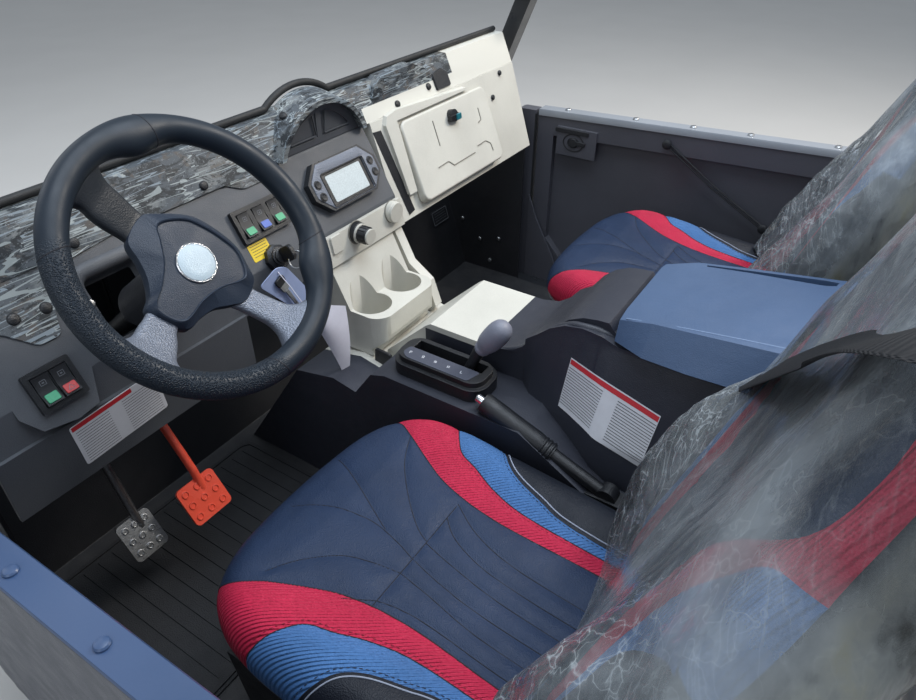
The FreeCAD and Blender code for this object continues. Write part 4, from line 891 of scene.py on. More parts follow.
def back_pad(name, side, node):
    sweep = np.linspace(0, np.pi / 2, 10)[:-1]
    low = BACK_ROLL * (1 - np.cos(sweep))
    heights = np.concatenate([low, np.arange(BACK_ROLL, BACK_LONG - BACK_ROLL, 4.2), BACK_LONG - low[::-1]])
    angle = np.linspace(0, 2 * np.pi, 236, endpoint=False)
    rows, where = [], []
    for s in heights:
        w, n = back_section(s, angle)
        level = np.full(len(w), s)
        rows.append(on_back(side, w, level, n))
        where.append(np.column_stack([w, level, np.sin(angle)]))
    w, s, face = np.array(where).reshape(-1, 3).T
    relief = puff(seam_distance(w, s, BACK_EDGES, BACK_SEAMS), 2.6, 14, 1.8) * np.clip(face * 3, 0, 1)
    points = np.array(rows).reshape(-1, 3) + relief[:, None] * BACK_OUT
    shape = Shape().grid(points.reshape(len(heights), len(angle), 3), around=True, caps=True)
    obj = shape.build(name, "seat_leather", replaces=[node], smooth=60)
    values = {zone: seam_gap(w, s, edge) for zone, edge in BACK_EDGES.items()}
    values["black"] = np.maximum(values["black"], np.clip(-face * 40 + 2, -40, 40))
    values["below"] = np.full(w.shape, -5.0)
    set_values(obj, values)
    edge = np.array([back_section(s, np.array([0, np.pi]))[0] for s in heights]) * 0.995
    right, left = (on_back(side, edge[:, k], heights, np.full(len(heights), BACK_MID)) for k in (0, 1))
    trim = Shape().tube(np.vstack([right, left[::-1]]), 1.8, 8, closed=True)
    trim.build(name + "_piping", "thread_dark", "seat_leather")


def crumple(p, seed):
    """Height of the faceted folds in thin film at a point."""
    q = Vector((p[0] * MM, p[1] * MM, p[2] * MM * 0.6)) + Vector((seed, seed * 0.37, 0))
    q += Vector(noise.noise_vector(q * 8)) * 0.02
    folds = sum(depth * (noise.voronoi(q * scale)[0][0] - 0.5) for scale, depth in FOLDS)
    return folds + FINE_FOLD[1] * noise.noise(q * FINE_FOLD[0])


def film_bag(name, side, seed, bulge):
    """Thin film over a seat back: gathered at the top, loose over the wings and at the bottom."""
    heights = np.concatenate([np.arange(FILM_LOW, BACK_LONG - 6, FILM_STEP), [BACK_LONG - 2]])
    angle = np.linspace(0, 2 * np.pi, 260, endpoint=False)
    rows, crisp, flank, haze = [], [], [], []
    for s in heights:
        w, n = back_section(np.clip(s, 34, BACK_LONG - 10), angle, FILM_ROOM)
        out = np.abs(w)
        front = np.clip((n - BACK_MID) / 38, 0, 1)
        swell = front * np.interp(s, *bulge) * hump(out, 170, 55)
        foot = (FILM_OPEN - s) * (0.4 + 0.6 * np.clip(3 * np.sin(angle), 0, 1))
        up = s if s > FILM_OPEN else FILM_OPEN - foot
        points = on_back(side, w, up + 0 * w, n + swell)
        aim = points - on_back(side, 0.0, max(s, FILM_OPEN), BACK_MID)
        aim /= np.linalg.norm(aim, axis=1)[:, None]
        fold = np.array([crumple(p, seed) for p in points]) * (0.6 + 0.6 * np.clip(swell / 25, 0, 1))
        fold *= 1 - 0.5 * front * np.clip((s - 380) / 60, 0, 1)
        rows.append(points + aim * np.maximum(fold, DEEPEST_FOLD)[:, None])
        crisp.append(hump(out, 150, 75) * front * np.clip((340 - s) / 130, 0.15, 1))
        # A band on the film's side for the painted reflection.
        flank.append(np.clip((-n - 42) / 16, 0, 1) * np.clip((n + 106) / 12, 0, 1) * np.clip((out - 130) / 30, 0, 1))
        haze.append(np.clip((out - 135) / 25, 0, 1) * (0.16 * hump(s, 365, 55) - 0.2 * np.clip((s - 425) / 30, 0, 1)))
    top = rows[-1]
    middle = top.mean(axis=0) + BACK_UP * 3
    for share, rise in ((0.8, 5), (0.5, 8), (0.2, 9), (0.04, 7)):
        rows.append(middle + (top - middle) * share + BACK_UP * rise * 0.6)
        for values, value in ((crisp, 0.3), (flank, 0), (haze, 0)):
            values.append(value + 0 * angle)
    obj = Shape().grid(np.array(rows), around=True).build(name, "clear_film", smooth=180)
    set_values(obj, {"crisp": crisp, "flank": flank, "haze": haze})


def strap(name, stops, wide, thick, look):
    """A flat strap along a line of stops, each with the way that it faces there."""
    both = spline([np.concatenate([point, unit(normal) * 60]) for point, normal in stops], 6)
    line, facing = both[:, :3], both[:, 3:]
    rows = []
    for p, t, f in zip(line, np.gradient(line, axis=0), facing):
        across = unit(np.cross(t, f))
        out = unit(np.cross(across, t))
        rows.append([p + across * a * wide / 2 + out * b * thick / 2 for a, b in (
            (-1, 0), (-0.94, 1), (0, 1.3), (0.94, 1), (1, 0), (0.94, -1), (0, -0.7), (-0.94, -1))])
    obj = Shape().grid(np.array(rows), around=True, caps=True).build(name, look, smooth=50)


def driver_belt():
    """From the bar behind the seat up over its shoulder, across the front and back down to the bar."""
    at = lambda w, s, n: on_back(-1, w, s, n)
    face = lambda a, b, c: np.array([a, 0, 0]) + b * BACK_UP + c * BACK_OUT
    strap("driver_belt", [
        ((-552, -536, 622), (0, 0.2, 1)), ((-560, -562, 650), (0, -1, 0.2)), ((-572, -578, 740), (0, -1, -0.2)),
        (at(-140, 505, -134), (0, -1, -0.3)), (at(-158, 545, -112), face(-0.2, 0.6, -0.7)),
        (at(-168, 566, -64), face(-0.3, 0.9, 0)), (at(-166, 562, -18), face(0, 0.7, 0.7)),
        (at(-156, 547, 8), face(0.36, 0.54, 0.76)), (at(-118, 512, 10), face(0.36, 0.54, 0.76)),
        (at(-27, 452, 0), face(0.33, 0.30, 0.89)), (at(16, 406, 4), face(0.25, 0.28, 0.93)),
        (at(56, 355, 10), face(0.25, 0.28, 0.93)), (at(112, 314, 3), face(0.25, 0.28, 0.93)),
        (at(168, 274, -2), face(0.3, 0.25, 0.92)), (at(214, 242, -16), face(0.85, 0.2, 0.5)),
        (at(238, 230, -58), face(1, 0.1, 0)), (at(238, 216, -100), face(0.8, -0.1, -0.5)),
        ((-212, -490, 604), (0.7, -0.5, 0.4)), ((-226, -528, 624), (0.3, 0, 1))],
        BELT_WIDE, BELT_THICK, "belt_web")


# Seed of the folds, and how far the film stands off the wings by height.
for who, side, seed, bulge in (
        ("driver", -1, 3.1, ([-46, 0, 93, 200, 258, 275], [14, 24, 36, 26, 4, 0])),
        ("passenger", 1, 8.7, ([-46, 0, 71, 222, 379], [60, 58, 50, 20, 0]))):
    back_pad(f"{who}_back_pad", side, f"{who}_backrest")
    film_bag(f"{who}_film", side, seed, bulge)
driver_belt()


# Steering wheel, in its own plane: Z along the steering axis.

WHEEL = Matrix.Translation((-441, 230, 701)) @ Matrix.Rotation(math.radians(52.3), 4, "X") @ Matrix.Rotation(
    math.radians(-58), 4, "Z")
WHEEL_TURN = np.array(WHEEL.to_3x3())
WHEEL_MID = np.array(WHEEL.translation)
RIM_RADIUS, RIM_THICK = 156.5, 16.0
THUMB_RESTS, RIM_JOINTS = (145, 28), (42, 138, 213, 327)
HUB_OUT = [(-75, 17), (-59, 33), (-35, 49), (-15, 55), (15, 54), (41, 47), (60, 33), (75, 18), (75, -12), (60, -28),
           (44, -42), (33, -62), (22, -84), (-21, -86), (-28, -67), (-39, -49), (-55, -34), (-75, -18)]
HUB_IN = [(-54, 16), (-32, 38), (-8, 43), (18, 42), (40, 36), (58, 16), (54, 2), (38, -16), (25, -42), (15, -76),
          (-16, -77), (-22, -50), (-30, -24), (-43, -3)]
# Each arm: its angle, then distance from the hub and the places of its two edges.
ARM_SHAPES = {
    "black": (180, [(44, -28, 24), (62, -25, 20), (78, -24, 17), (102, -27, 20), (118, -28, 20), (130, -31, 19),
                    (138, -37, 24), (145, -46, 36), (151, -50, 40)]),
    "right": (0, [(44, -26, 20), (62, -25, 14), (78, -24, 9), (96, -26, 7), (112, -29, 6), (124, -36, 7),
                  (133, -48, 12), (140, -62, 22), (147, -70, 34), (152, -74, 40)]),
    "low": (270, [(44, -22, 18), (66, -22, 16), (90, -23, 15), (106, -26, 20), (120, -28, 23), (130, -34, 25),
                  (137, -44, 32), (144, -58, 44), (151, -66, 52)]),
}


def wheel_point(x, y, z):
    return WHEEL_MID + np.stack(np.broadcast_arrays(np.asarray(x, float), y, z), axis=-1) @ WHEEL_TURN.T


def on_rim(theta, roll, swell=0.0):
    """A point of the rim: round the wheel, and round the tube, which bulges at the thumb rests."""
    bump = sum(hump((theta - rest + 180) % 360 - 180, 0, 12) for rest in THUMB_RESTS)
    a = np.radians(theta)
    r = RIM_RADIUS - 5 * bump + (RIM_THICK + 7 * bump + swell) * np.cos(roll)
    return wheel_point(r * np.cos(a), r * np.sin(a), (RIM_THICK + 1.5 * bump + swell) * 1.02 * np.sin(roll))


def arm_grid(angle, rows, sides=28):
    """A spoke that flares into the rim."""
    a = math.radians(angle)
    roll = np.linspace(0, 2 * np.pi, sides, endpoint=False)
    out = []
    for r, low, high in spline(rows, 3):
        across = (low + high) / 2 + (high - low) / 2 * squared(np.cos(roll), 0.45)
        deep = np.interp(r, [44, 90, 125, 152], [8, 7.5, 8.5, 11])
        up = np.interp(r, [44, 78, 120, 140, 152], [-37, -33, -19, -8, -4]) + deep * squared(np.sin(roll), 0.6)
        x, y = r * math.cos(a) - across * math.sin(a), r * math.sin(a) + across * math.cos(a)
        out.append(wheel_point(x, y, up))
    return np.array(out)


def radial(outline, count, centre=(0, 0), straight=False):
    """The edge of an outline seen from a point inside it, at even angles."""
    if straight:
        p = evenly(np.vstack([outline, outline[:1]]), 0.5) - centre
    else:
        p = spline(outline, 1.0, closed=True) - centre
    angle = np.arctan2(p[:, 1], p[:, 0])
    order = np.argsort(angle)
    at = np.linspace(-np.pi, np.pi, count, endpoint=False)
    far = np.interp(at, angle[order], np.hypot(*p.T)[order], period=2 * np.pi)
    return np.column_stack([np.cos(at), np.sin(at)]) * far[:, None] + centre


def steering_wheel():
    theta = np.append(np.arange(0, 360, 1.25), 0)
    roll = np.linspace(0, 2 * np.pi, 40, endpoint=False)
    rim = Shape().grid(np.array([on_rim(t, roll) for t in theta]), around=True)
    obj = rim.build("steering_rim", "grip", body="steering_wheel", replaces=["wheel_rim"], smooth=180)
    from_low = np.abs((np.repeat(theta, len(roll)) - 270 + 180) % 360 - 180)
    set_values(obj, {"pebbled": np.clip(6 - from_low / 9.5, -1, 1)})
    lines = Shape()
    for joint in RIM_JOINTS:
        ring = [on_rim(joint + 2.5 * math.cos(r), r, -0.25) for r in np.linspace(0, 2 * np.pi, 48, endpoint=False)]
        lines.tube(ring, 0.75, 6, closed=True)
    lines.build("rim_seams", "thread_dark", "grip", body="steering_wheel")
    core = Place(WHEEL_MID, WHEEL_TURN[:, 0], WHEEL_TURN[:, 1])
    black = Shape().grid(arm_grid(*ARM_SHAPES["black"]), around=True, caps=True)
    black.lathe([(17, -66), (18, -64), (18, -51), (44, -50), (48, -47), (48, -38), (44, -35), (20, -34)], core, 48)
    black.build("steering_arm_black", "hub_black", "switch_plastic", body="steering_wheel",
                replaces=["wheel_black_spoke"], smooth=40)
    pale = Shape()
    for key in ("right", "low"):
        pale.grid(arm_grid(*ARM_SHAPES[key]), around=True, caps=True)
    pale.build("steering_arms_silver", "silver", body="steering_wheel", replaces=["wheel_silver_spokes"], smooth=60)
    middle = np.array([0.0, -14.0])
    outer, inner = radial(HUB_OUT, 180, middle), radial(HUB_IN, 180, middle)
    rings = []
    for ring, share, height in ((outer, 0.985, -40), (outer, 1.0, -37), (outer, 1.0, -27), (outer, 0.985, -24.5),
                                (inner, 1.06, -17.5), (inner, 1.035, -16.5), (inner, 1.01, -17.2),
                                (inner, 1.0, -18.8), (inner, 0.985, -19.4), (inner, 0.9, -19.2),
                                (inner, 0.6, -18.4), (inner, 0.3, -18)):
        q = middle + (ring - middle) * share
        rings.append(wheel_point(q[:, 0], q[:, 1], np.full(len(q), height)))
    cover = Shape().grid(np.array(rings), around=True, caps=True)
    cover.build("steering_hub_cover", "hub_plastic", body="steering_wheel", replaces=["wheel_hub_cover"], smooth=28)
    badge = core.at(1, -4, -18.2)
    disc = Shape().lathe([(25, -1.5), (25, 1.6), (24.4, 2.3), (23.6, 2.3), (23.2, 1.4)], badge, 96, look=1)
    disc.lathe([(22.6, 1.0), (22.6, 2.1), (21.8, 2.6), (12, 3.0), (4, 3.2)], badge, 96)
    disc.build("steering_badge", "pale_badge chrome", "hub_plastic", body="steering_wheel", smooth=30)


steering_wheel()


# Dash.

SLOPE = 139.8  # length of the dash face, from its top edge to its lip
DASH = Place((0, 446, 662), (1, 0, 0), (0, 0.5007, 0.8655))
BROW = Place((0, 442, 662.3), (1, 0, 0), (0, 0.401, 0.916))
PRINTS = [
    [(-699, 0), (-699, 0.30), (-640, 0.36), (-610, 0.40), (-580, 0.63), (-551, 0.63), (-541, 0.41), (-520, 0.24),
     (-497, 0.07), (-424, 0.02), (-400, 0.01)],
    [(-240, 0.01), (-226, 0.02), (-212, 0.08), (-198, 0.13), (-137, 0.13), (-128, 0.01)]]


def on_dash(x, share, high=0.0):
    """A place on the dash face, by its share of the way down."""
    return DASH.at(x, -SLOPE * share, high)


def printed_panels():
    shape = Shape()
    for outline in PRINTS:
        shape.plate(rounded([(x, -SLOPE * share) for x, share in outline], 7), DASH, 2.4, 0.8)
    shape.build("dash_print", "printed_plastic")
    rivets = Shape()
    for x, share in ((-549, 0.36), (-588, 0.33), (-668, 0.18)):
        rivets.head(DASH, x, -SLOPE * share, 8, 5)
    for x, up in ((-476, 9), (-262, 12), (-612, 12), (219, 12), (330, 20)):
        rivets.head(BROW, x, up, 7, 4.5)
    rivets.head(Place((-72, 459, 724.8), (0.83, 0, 0.55), (0, 1, 0.18)), 0, 0, 7, 4.5)
    rivets.plate(rounded([(352, 6), (404, 6), (404, 34), (386, 46), (352, 40)], 5), BROW, 4, 1)
    rivets.build("dash_rivets", "switch_plastic")


def column_collar():
    """The raised lip round the steering column, and two screws."""
    middle = np.array([-449.5, -SLOPE * 0.63])
    rows = []
    for grow, high in ((20, -0.5), (17, 3.2), (12, 5), (6, 5.2), (1, 3), (-2, -6), (-4, -20), (-9, -26)):
        a, b = 44.5 + grow, 49.5 + grow
        rows.append(DASH(*(rounded(box_outline(-a, -b, a, b), 14 + grow, 6) + middle).T, high))
    Shape().grid(np.array(rows), around=True).build("column_collar", "dash_plastic", smooth=60)
    screws = Shape()
    for x, share, high in ((-502, 0.50, 4.5), (-398, 1.02, 4)):
        screws.head(on_dash(x, share, high), 0, 0, 7, 4)
    screws.build("column_screws", "steel")


def display_details():
    here = on_dash(0, 0.5)
    octagon = [(88, 14.5), (59, 43.5), (-59, 43.5), (-88, 14.5), (-88, -14.5), (-59, -43.5), (59, -43.5), (88, -14.5)]
    screen, down = box_outline(-53, -28.5, 53, 28.5), np.array([0, -8.0])
    outer, inner = radial(octagon, 160, straight=True), radial(rounded(screen, 4), 160, straight=True)
    rows = []
    for ring, share, high in ((outer, 0.93, 13.8), (outer, 0.925, 15.2), (outer, 0.91, 15.6), (inner, 1.06, 15.6),
                              (inner, 1.03, 15.2), (inner, 1.0, 12.4)):
        q = ring * share + (down if ring is inner else 0)
        rows.append(here(q[:, 0], q[:, 1], np.full(len(q), high)))
    shape = Shape().grid(np.array(rows), around=True)
    for x, y in ((-70, -14), (-70, 8), (70, -14), (70, 8)):
        shape.hoop(here, circle(7.2, 28) + (x, y), 0.9, 6, 15.6, look=1)
        shape.lathe([(6.3, 12), (6.3, 16.8), (5.4, 17.6), (4.2, 17.2)], here.at(x, y), 28, look=1)
    shape.hoop(here, rounded(screen, 4) * 1.05 + down, 1.1, 6, 15.7, look=1)
    shape.build("display_face", "silver switch_plastic", "display_plastic")
    for name, look, wide, tall, corner, low, high, edge in (
            ("mask", "switch_plastic", 1.01, 1.01, 4, 12.0, 12.8, 0.2),
            ("glass", "screen_glass", 0.86, 0.84, 3, 12.4, 13.2, 0.3)):
        plate = Shape().plate(rounded([(x * wide, y * tall - 8) for x, y in screen], corner), here, high, edge, low)
        plate.build("display_" + name, look, "display_plastic")


RIGHT_BANK, LEFT_BANK = (-199, 0.49), (-592, 0.98)


def rocker_details():
    """Lamp lenses on the lower half of each rocker, with marks above them."""
    shape = Shape()
    mark, red = 3, 2
    for (x0, share), step, colours in ((RIGHT_BANK, 31, (0, 1, 0)), (LEFT_BANK, 24, (0, red))):
        for i, colour in enumerate(colours):
            x = x0 + (i - (len(colours) - 1) / 2) * step
            low = Place(DASH(x, -SLOPE * share - 10.2, 10.5), DASH.across, DASH.up - 0.30 * DASH.out)
            shape.plate(rounded(box_outline(-8, -7, 8, 5), 2), low, 1.3, 0.4, look=colour)
            high = Place(DASH(x, -SLOPE * share + 9, 9.2), DASH.across, DASH.up + 0.15 * DASH.out)
            for edges in ((-4, 3, 4, 3.8), (-4, -3, 4, -2.2), (-4, -3, -3.2, 3.8), (3.2, -3, 4, 3.8),
                          (-1.5, -0.6, 1.5, 1.2)):
                shape.ink(high, *edges, 0.35, look=mark)
            if colour == red:
                shape.line(low, [(-4, -4), (0, 2.6), (4, -4), (-4, -4)], 1.2, 1.7, look=mark)
    shape.build("rocker_lamps", "green_lamp blue_lamp red_lamp piping_pale", "switch_plastic")


def ruled(shape, place, low, high, pitch, lift, look):
    """Plain ruled lines across a blank card."""
    for b in np.arange(high[1], low[1], -pitch):
        shape.ink(place, low[0], b - 0.8, high[0], b, lift, look)


def labels():
    """Blank cards with a coloured head and ruled lines."""
    shape = Shape()
    ink, head, yellow = 1, 2, 3
    card_at = Place((-599, 360.9, 419), (130, 0, 8.5), (-8.5, 0, 130))
    shape.plate(rounded(box_outline(0, 0, 132, 67), 4), card_at, 0.7, 0.2)
    shape.ink(card_at, 2, 59, 92, 66, 0.85, head)
    for left, right in ((5, 54), (74, 127)):
        ruled(shape, card_at, (left, 4), (right, 55), 4.2, 0.85, ink)
    side = Cast("tunnel", (-118, -99, 393), (-22, -146, -30), (14, -6, 84))
    columns, gap, wide = 12, (5, 6), 12.5
    shape.grid(side(*np.meshgrid(np.linspace(0, 152, 26), np.linspace(0, 86, 15), indexing="ij"), 0.8))
    for k in range(columns):
        left, right = 1 + k * wide, 1 + (k + 1) * wide
        shape.ink(side, left, 76, right, 84, 1.15, head)
        for b in np.arange(71, 5, -4.4) if k not in gap else ():
            shape.ink(side, left, b - 1, right, b, 1.2, ink)
    note = on_dash(-246, 0.90)
    shape.plate(rounded(box_outline(0, 0, 40, 28), 2), note, 0.6, 0.2, look=yellow)
    ruled(shape, note, (4, 3), (36, 25), 4.4, 0.75, ink)
    shape.build("labels", "white_card print_ink red_card yellow_card", smooth=30)
    plate, toe = Shape(), Place((640, 640, 220), (1, 0, 0), (0, 0.295, 0.955))
    plate.plate(rounded(box_outline(-38, -22, 38, 22), 5), toe, 1.6, 0.4)
    plate.line(toe, np.vstack([rounded(box_outline(-34, -18, 34, 18), 3), [(-34, -15)]]), 1.6, 2.2, 1)
    ruled(plate, toe, (-27, -12), (27, 12), 7, 1.8, 1)
    plate.build("cowl_plate", "switch_plastic piping_pale", "black_plastic")


def key_and_tags():
    lock = on_dash(-207, 0.96)
    key = Shape()
    key.lathe([(23, -0.5), (22, 8), (19, 10), (17, 12)], lock, 8)
    key.lathe([(15, 9), (15, 15), (12, 16), (12, 19), (10, 20)], lock, 32)
    blade = Place(lock(0, 0, 19), lock.out, lock.up)
    handle = rounded([(0, -10), (8, -12), (24, -13), (30, -8), (30, 8), (24, 13), (8, 12), (0, 10)], 5)
    key.plate(handle, blade, 3.6, 1.0, -3.6)
    key.build("ignition_key", "switch_plastic")
    bits = Shape()
    bits.hoop(Place(lock(2, -14, 44), (0.6, -0.5, 0.6), (0.1, 0.75, 0.65)), circle(13, 36), 1.1, look=1)
    tag = rounded([(-278, 538), (-240, 554), (-219, 546), (-178, 482), (-191, 457), (-220, 470)], 8)
    bits.plate(tag, Place((0, 345, 0), *UPRIGHT), 1.2, 0.3, look=2)
    spare = Place((-236, 342, 524), (0.90, 0.03, 0.42), (-0.42, 0.05, 0.90))
    bits.plate(rounded([(-7, -16), (7, -16), (8, 4), (-8, 4)], 4), spare, 2.4, 0.6, look=1)
    bits.plate([(-3, -62), (0, -66), (3, -62), (3.6, -16), (-3.6, -16)], spare, 2.0, 0.5, look=1)
    bits.plate(rounded([(-9, -2), (9, -2), (10, 14), (-10, 14)], 5), spare, 3.4, 1.0)
    bits.build("key_tag", "switch_plastic steel tag_blue", None)


def hanging_card():
    """A blank card on its string, slightly curled."""
    u, v = (k[..., None] for k in np.meshgrid(np.linspace(0, 1, 18), np.linspace(0, 1, 26), indexing="ij"))
    top_left, top_right, low_left, low_right = np.array([
        (-228.0, 308, 492), (-142, 300, 447), (-210, 304, 440), (-156, 302, 286)])
    at = (1 - u) * (1 - v) * top_left + u * (1 - v) * top_right + (1 - u) * v * low_left + u * v * low_right
    at = at + (np.sin(v * 3.1) * 7 + np.sin(u * 3) * 3) * np.array([0.3, -0.9, 0.2])
    paper = Shape().grid(at).grid(at[::-1] + np.array([0, 0.5, 0.2]))
    paper.tube([(-224, 307, 484), (-232, 326, 520), (-238, 344, 546)], 0.8, 6)
    paper.build("hanging_card", "pale_card", smooth=60)


def strip_details():
    """The knob, the socket cap and the blank on the strip, with a shadow line round the first two."""
    knob, cap = (Place((x, 360, 523), *UPRIGHT) for x in (-30, 75))
    shape = Shape()
    shape.lathe([(19.4, -5), (19.4, 6.6), (18.2, 8.2), (16, 8.4), (15.6, 9), (15.2, 29), (13.6, 31.2), (6, 31.8)],
                knob, 40)
    for a in 2 * math.pi * np.arange(14) / 14:
        shape.tube([knob(15 * math.cos(a), 15 * math.sin(a), h) for h in (9, 18, 28)], 1.3, 6)
    shape.build("strip_knob", "switch_plastic")
    # The cap and the blank take the pale colour: painted sunlight.
    pale = Shape()
    pale.lathe([(20.4, -5), (20.4, 6.2), (19.2, 7.2), (17.4, 7.2), (16.8, 6.4), (16.0, 6.4), (15, 7.4), (5, 7.6)],
               cap, 48)
    blank = Place((-84, 361, 523), (1, 0, 0), (0, 0.16, 0.987))
    pale.plate(rounded(box_outline(-13, -16, 13, 16), 4), blank, 3.6, 0.8)
    pale.build("strip_cap", "light_plastic")
    # Painted shadow: dark rings round the knob and the cap.
    shadow_rings = Shape()
    for radius, x in ((20.6, 75), (20.2, -30)):
        ring = circle(radius, 40)
        shadow_rings.tube(np.column_stack([ring[:, 0] + x, 360 + ring[:, 1] * 0.18, ring[:, 1] + 523]), 1.2, 6, closed=True)
    shadow_rings.build("strip_rings", "groove", "light_plastic")


def gauge_details():
    """Raised outlines of the two blank gauges."""
    face = Place((-5, 446, 624), *UPRIGHT)
    shape = Shape()
    radius, low, inner = 93, 54, 10
    for side in (-1, 1):
        arc = np.radians(np.linspace(90 - side * 84, 90 - side * 10, 22))
        curve = np.column_stack([radius * np.cos(arc), radius * np.sin(arc)])
        curve = curve[curve[:, 1] > low]
        loop = np.vstack([curve, [(side * inner, low), (curve[0, 0], low)], curve[:1]])
        shape.line(face, evenly(loop, 3), 2.0, 2.6)
    shape.build("gauge_outlines", "dash_plastic")


printed_panels()
column_collar()
display_details()
rocker_details()
labels()
key_and_tags()
hanging_card()
strip_details()
gauge_details()


# Glove box.

LID_LONG = 164.2  # length of the lid, from its top edge to its foot
LID = Place((0, 426, 646), (1, 0, 0), (0, 0.3777, 0.9259))
LID_STROKES = [
    [(296, 0.14), (294, 0.46)], [(266, 0.69), (305, 0.68), (320, 0.76), (408, 0.75)],
    [(421, 0.69), (456, 0.68), (472, 0.74), (474, 0.87)], [(464, 0.24), (463, 0.40), (448, 0.42)]]


def glove_details():
    ribs = Shape()
    # The ribs' dark colour is painted shade along the edges of the lid's shallow embossed shapes.
    for stroke in LID_STROKES:
        points = [(x, -LID_LONG * share) for x, share in stroke]
        ribs.line(LID, evenly(points + points[-1:], 4), 2.4, 1.3)
    ribs.build("lid_ribs", "groove", "light_plastic", body="glove_box_lid")
    latch = Place((361, 401, 617), (1, 0, 0), (0, 0.1, 1))
    tip = Shape().plate(rounded(box_outline(1, -6, 18, 7), 3), latch, 3, 1)
    tip.build("latch_tip", "teal_plastic", body="glove_box_lid")
    studs = Shape()
    for x, up in ((549, -42), (600, 2)):
        studs.head(Place((x, 435 + 0.31 * up, 650 + 0.95 * up), (1, 0, 0), (0, 0.31, 0.95)), 0, 0, 6, 3.5)
    # Painted shadow: a dark strip on the left side of the raised surround, where its shade falls.
    shadow_strip = Place((0, 432.8, 637.7), (1, 0, 0), (0, 0.31, 0.951))
    studs.plate([(124, 8), (148, 6), (177, -164), (157, -168)], shadow_strip, 0.8, 0.3)
    studs.build("glove_studs", "switch_plastic", None)


glove_details()


# Console.

LETTERS = {
    "P": [[(0, 0), (0, 6), (3, 6), (3, 3), (0, 3)]],
    "R": [[(0, 0), (0, 6), (3, 6), (3, 3), (0, 3)], [(1, 3), (3.4, 0)]],
    "N": [[(0, 0), (0, 6), (3, 0), (3, 6)]],
    "H": [[(0, 0), (0, 6)], [(3, 0), (3, 6)], [(0, 3), (3, 3)]],
    "L": [[(0, 6), (0, 0), (3, 0)]],
}
KNOB_PROFILE = [(11, 4), (13, 8), (13.6, 11), (13.2, 12), (15.6, 18), (18.2, 26), (19.6, 38), (19.8, 50), (19.2, 58),
                (17, 66), (13, 71.5), (7, 75), (2, 76)]
WAVE_LIP = [(-82, 44, 425), (-81, 30, 426.5), (-80, 14, 430.5), (-80, -1, 436.5), (-80, -15, 446), (-83, -31, 463),
            (-86, -50, 486), (-88, -70, 508), (-90, -94, 523), (-91, -112, 527), (-88, -128, 526.5),
            (-87, -144, 525), (-84, -158, 520)]
LID_CREASE = [(-83, -170, 556.6), (-85.5, -215, 566.2), (-87.5, -260, 574), (-88.3, -320, 582.3), (-89, -380, 590)]


def selector_details():
    top = Place((-152, 0, 412), *LEVEL)
    shape = Shape().plate(rounded([(-15, 38), (14, 30), (14, 166), (-4, 168), (-15, 156)], 6), top, 1.0, 0.3)
    for letter, y in zip("PRNHL", (156, 131, 107, 82, 57)):
        place = Place(top(-4, y, 1.0), (0.25, -1, 0), (1, 0.25, 0))
        for stroke in LETTERS[letter]:
            for ends in zip(stroke, stroke[1:]):
                shape.line(place, ends, 1.1, 0.35, look=1)
    shape.build("gate_plate", "gate_plate white_card")
    base, tip, end = np.array([(-126, 64, 391.5), (-118, 46, 435.5), (-110, 14, 481.5)])
    lean = unit(end - tip)
    side = unit(np.cross(lean, (1, 0, 0)))
    knob = Shape().lathe(KNOB_PROFILE, Place(tip, np.cross(side, lean), side), 36)
    knob.build("selector_knob", "knob_grey", "switch_plastic", replaces=["selector_lever"], smooth=50)
    line = spline([base, tip, tip + lean * 12], 3)
    thick = np.interp(np.linspace(0, 1, len(line)), [0, 0.3, 0.8, 1], [10, 8.2, 10.5, 12.4])
    Shape().tube(line, thick, 20).build("selector_neck", "switch_plastic", smooth=50)


def brake_details():
    pivot, nose = np.array([-178.0, -214, 316]), np.array([-178.0, 0, 396])
    run = unit(nose - pivot)
    end = Place(nose, (1, 0, 0), np.cross(run, (1, 0, 0)))
    shape = Shape().lathe([(7.2, -2), (7.2, 10), (6, 12.6), (2, 13.2)], end, 24, look=1)
    for back in (112, 119, 126):
        shape.hoop(Place(nose - run * back, end.across, end.up), circle(14.6, 32), 2.4)
    shape.lathe([(8, -1), (14.6, -1), (16.6, -4), (16.9, -30), (16.4, -60), (16.9, -100), (15.4, -110)], end, 28)
    shape.build("brake_grip", "switch_plastic chrome", "black_plastic", smooth=40)


def edge_details():
    """The rounded lip of the wave, a painted highlight along the crease of the lid, and the foot of the cup block."""
    line = spline(np.array(WAVE_LIP) + (3.5, 0, -2.5), 3)
    thick = np.interp(np.linspace(0, 1, len(line)), [0, 0.15, 0.9, 1], [3, 6, 6, 3])
    Shape().tube(line, thick, 14).build("wave_lip", "console_plastic", smooth=60)
    # Painted highlight: a pale blue bead along the lid's crease.
    crease = Shape().tube(spline(LID_CREASE, 6), 1.5, 8)
    crease.build("lid_crease", "lid_edge", "console_plastic", body="storage_box_lid")
    foot = Place((-103.5, 256, 320), (0, -1, 0), (0, 0, 1))
    tab = Shape().plate(rounded([(-20, -28), (20, -28), (20, 26), (-16, 28)], 6), foot, 5, 1.2)
    tab.build("cup_foot", "switch_plastic", "black_plastic")


selector_details()
brake_details()
edge_details()


# Doors and floor.

RAIL_SECTION = [(0, -14), (-2.2, -13), (-2.2, 0.5), (-0.5, 3), (33, 3), (34.5, 1), (34.5, -5), (33, -5), (33, 0.2),
                (1, 0.2), (0, -1)]
DOOR_FRONT, RAIL_BACK, DOOR_LONG, DOOR_RISE = 402, -512, 946, 40
DOOR_INSIDE, DOOR_MIDDLE, RAIL_LOW, RAIL_TOP = 756, 775, 532, 535
BOLT_PLACES, BOLT_TILT = (330, 150, 10, -120, -300), -0.0423


def door_rise(y):
    """How far the door's top has risen at y, from its front end."""
    return (DOOR_FRONT - y) * DOOR_RISE / DOOR_LONG


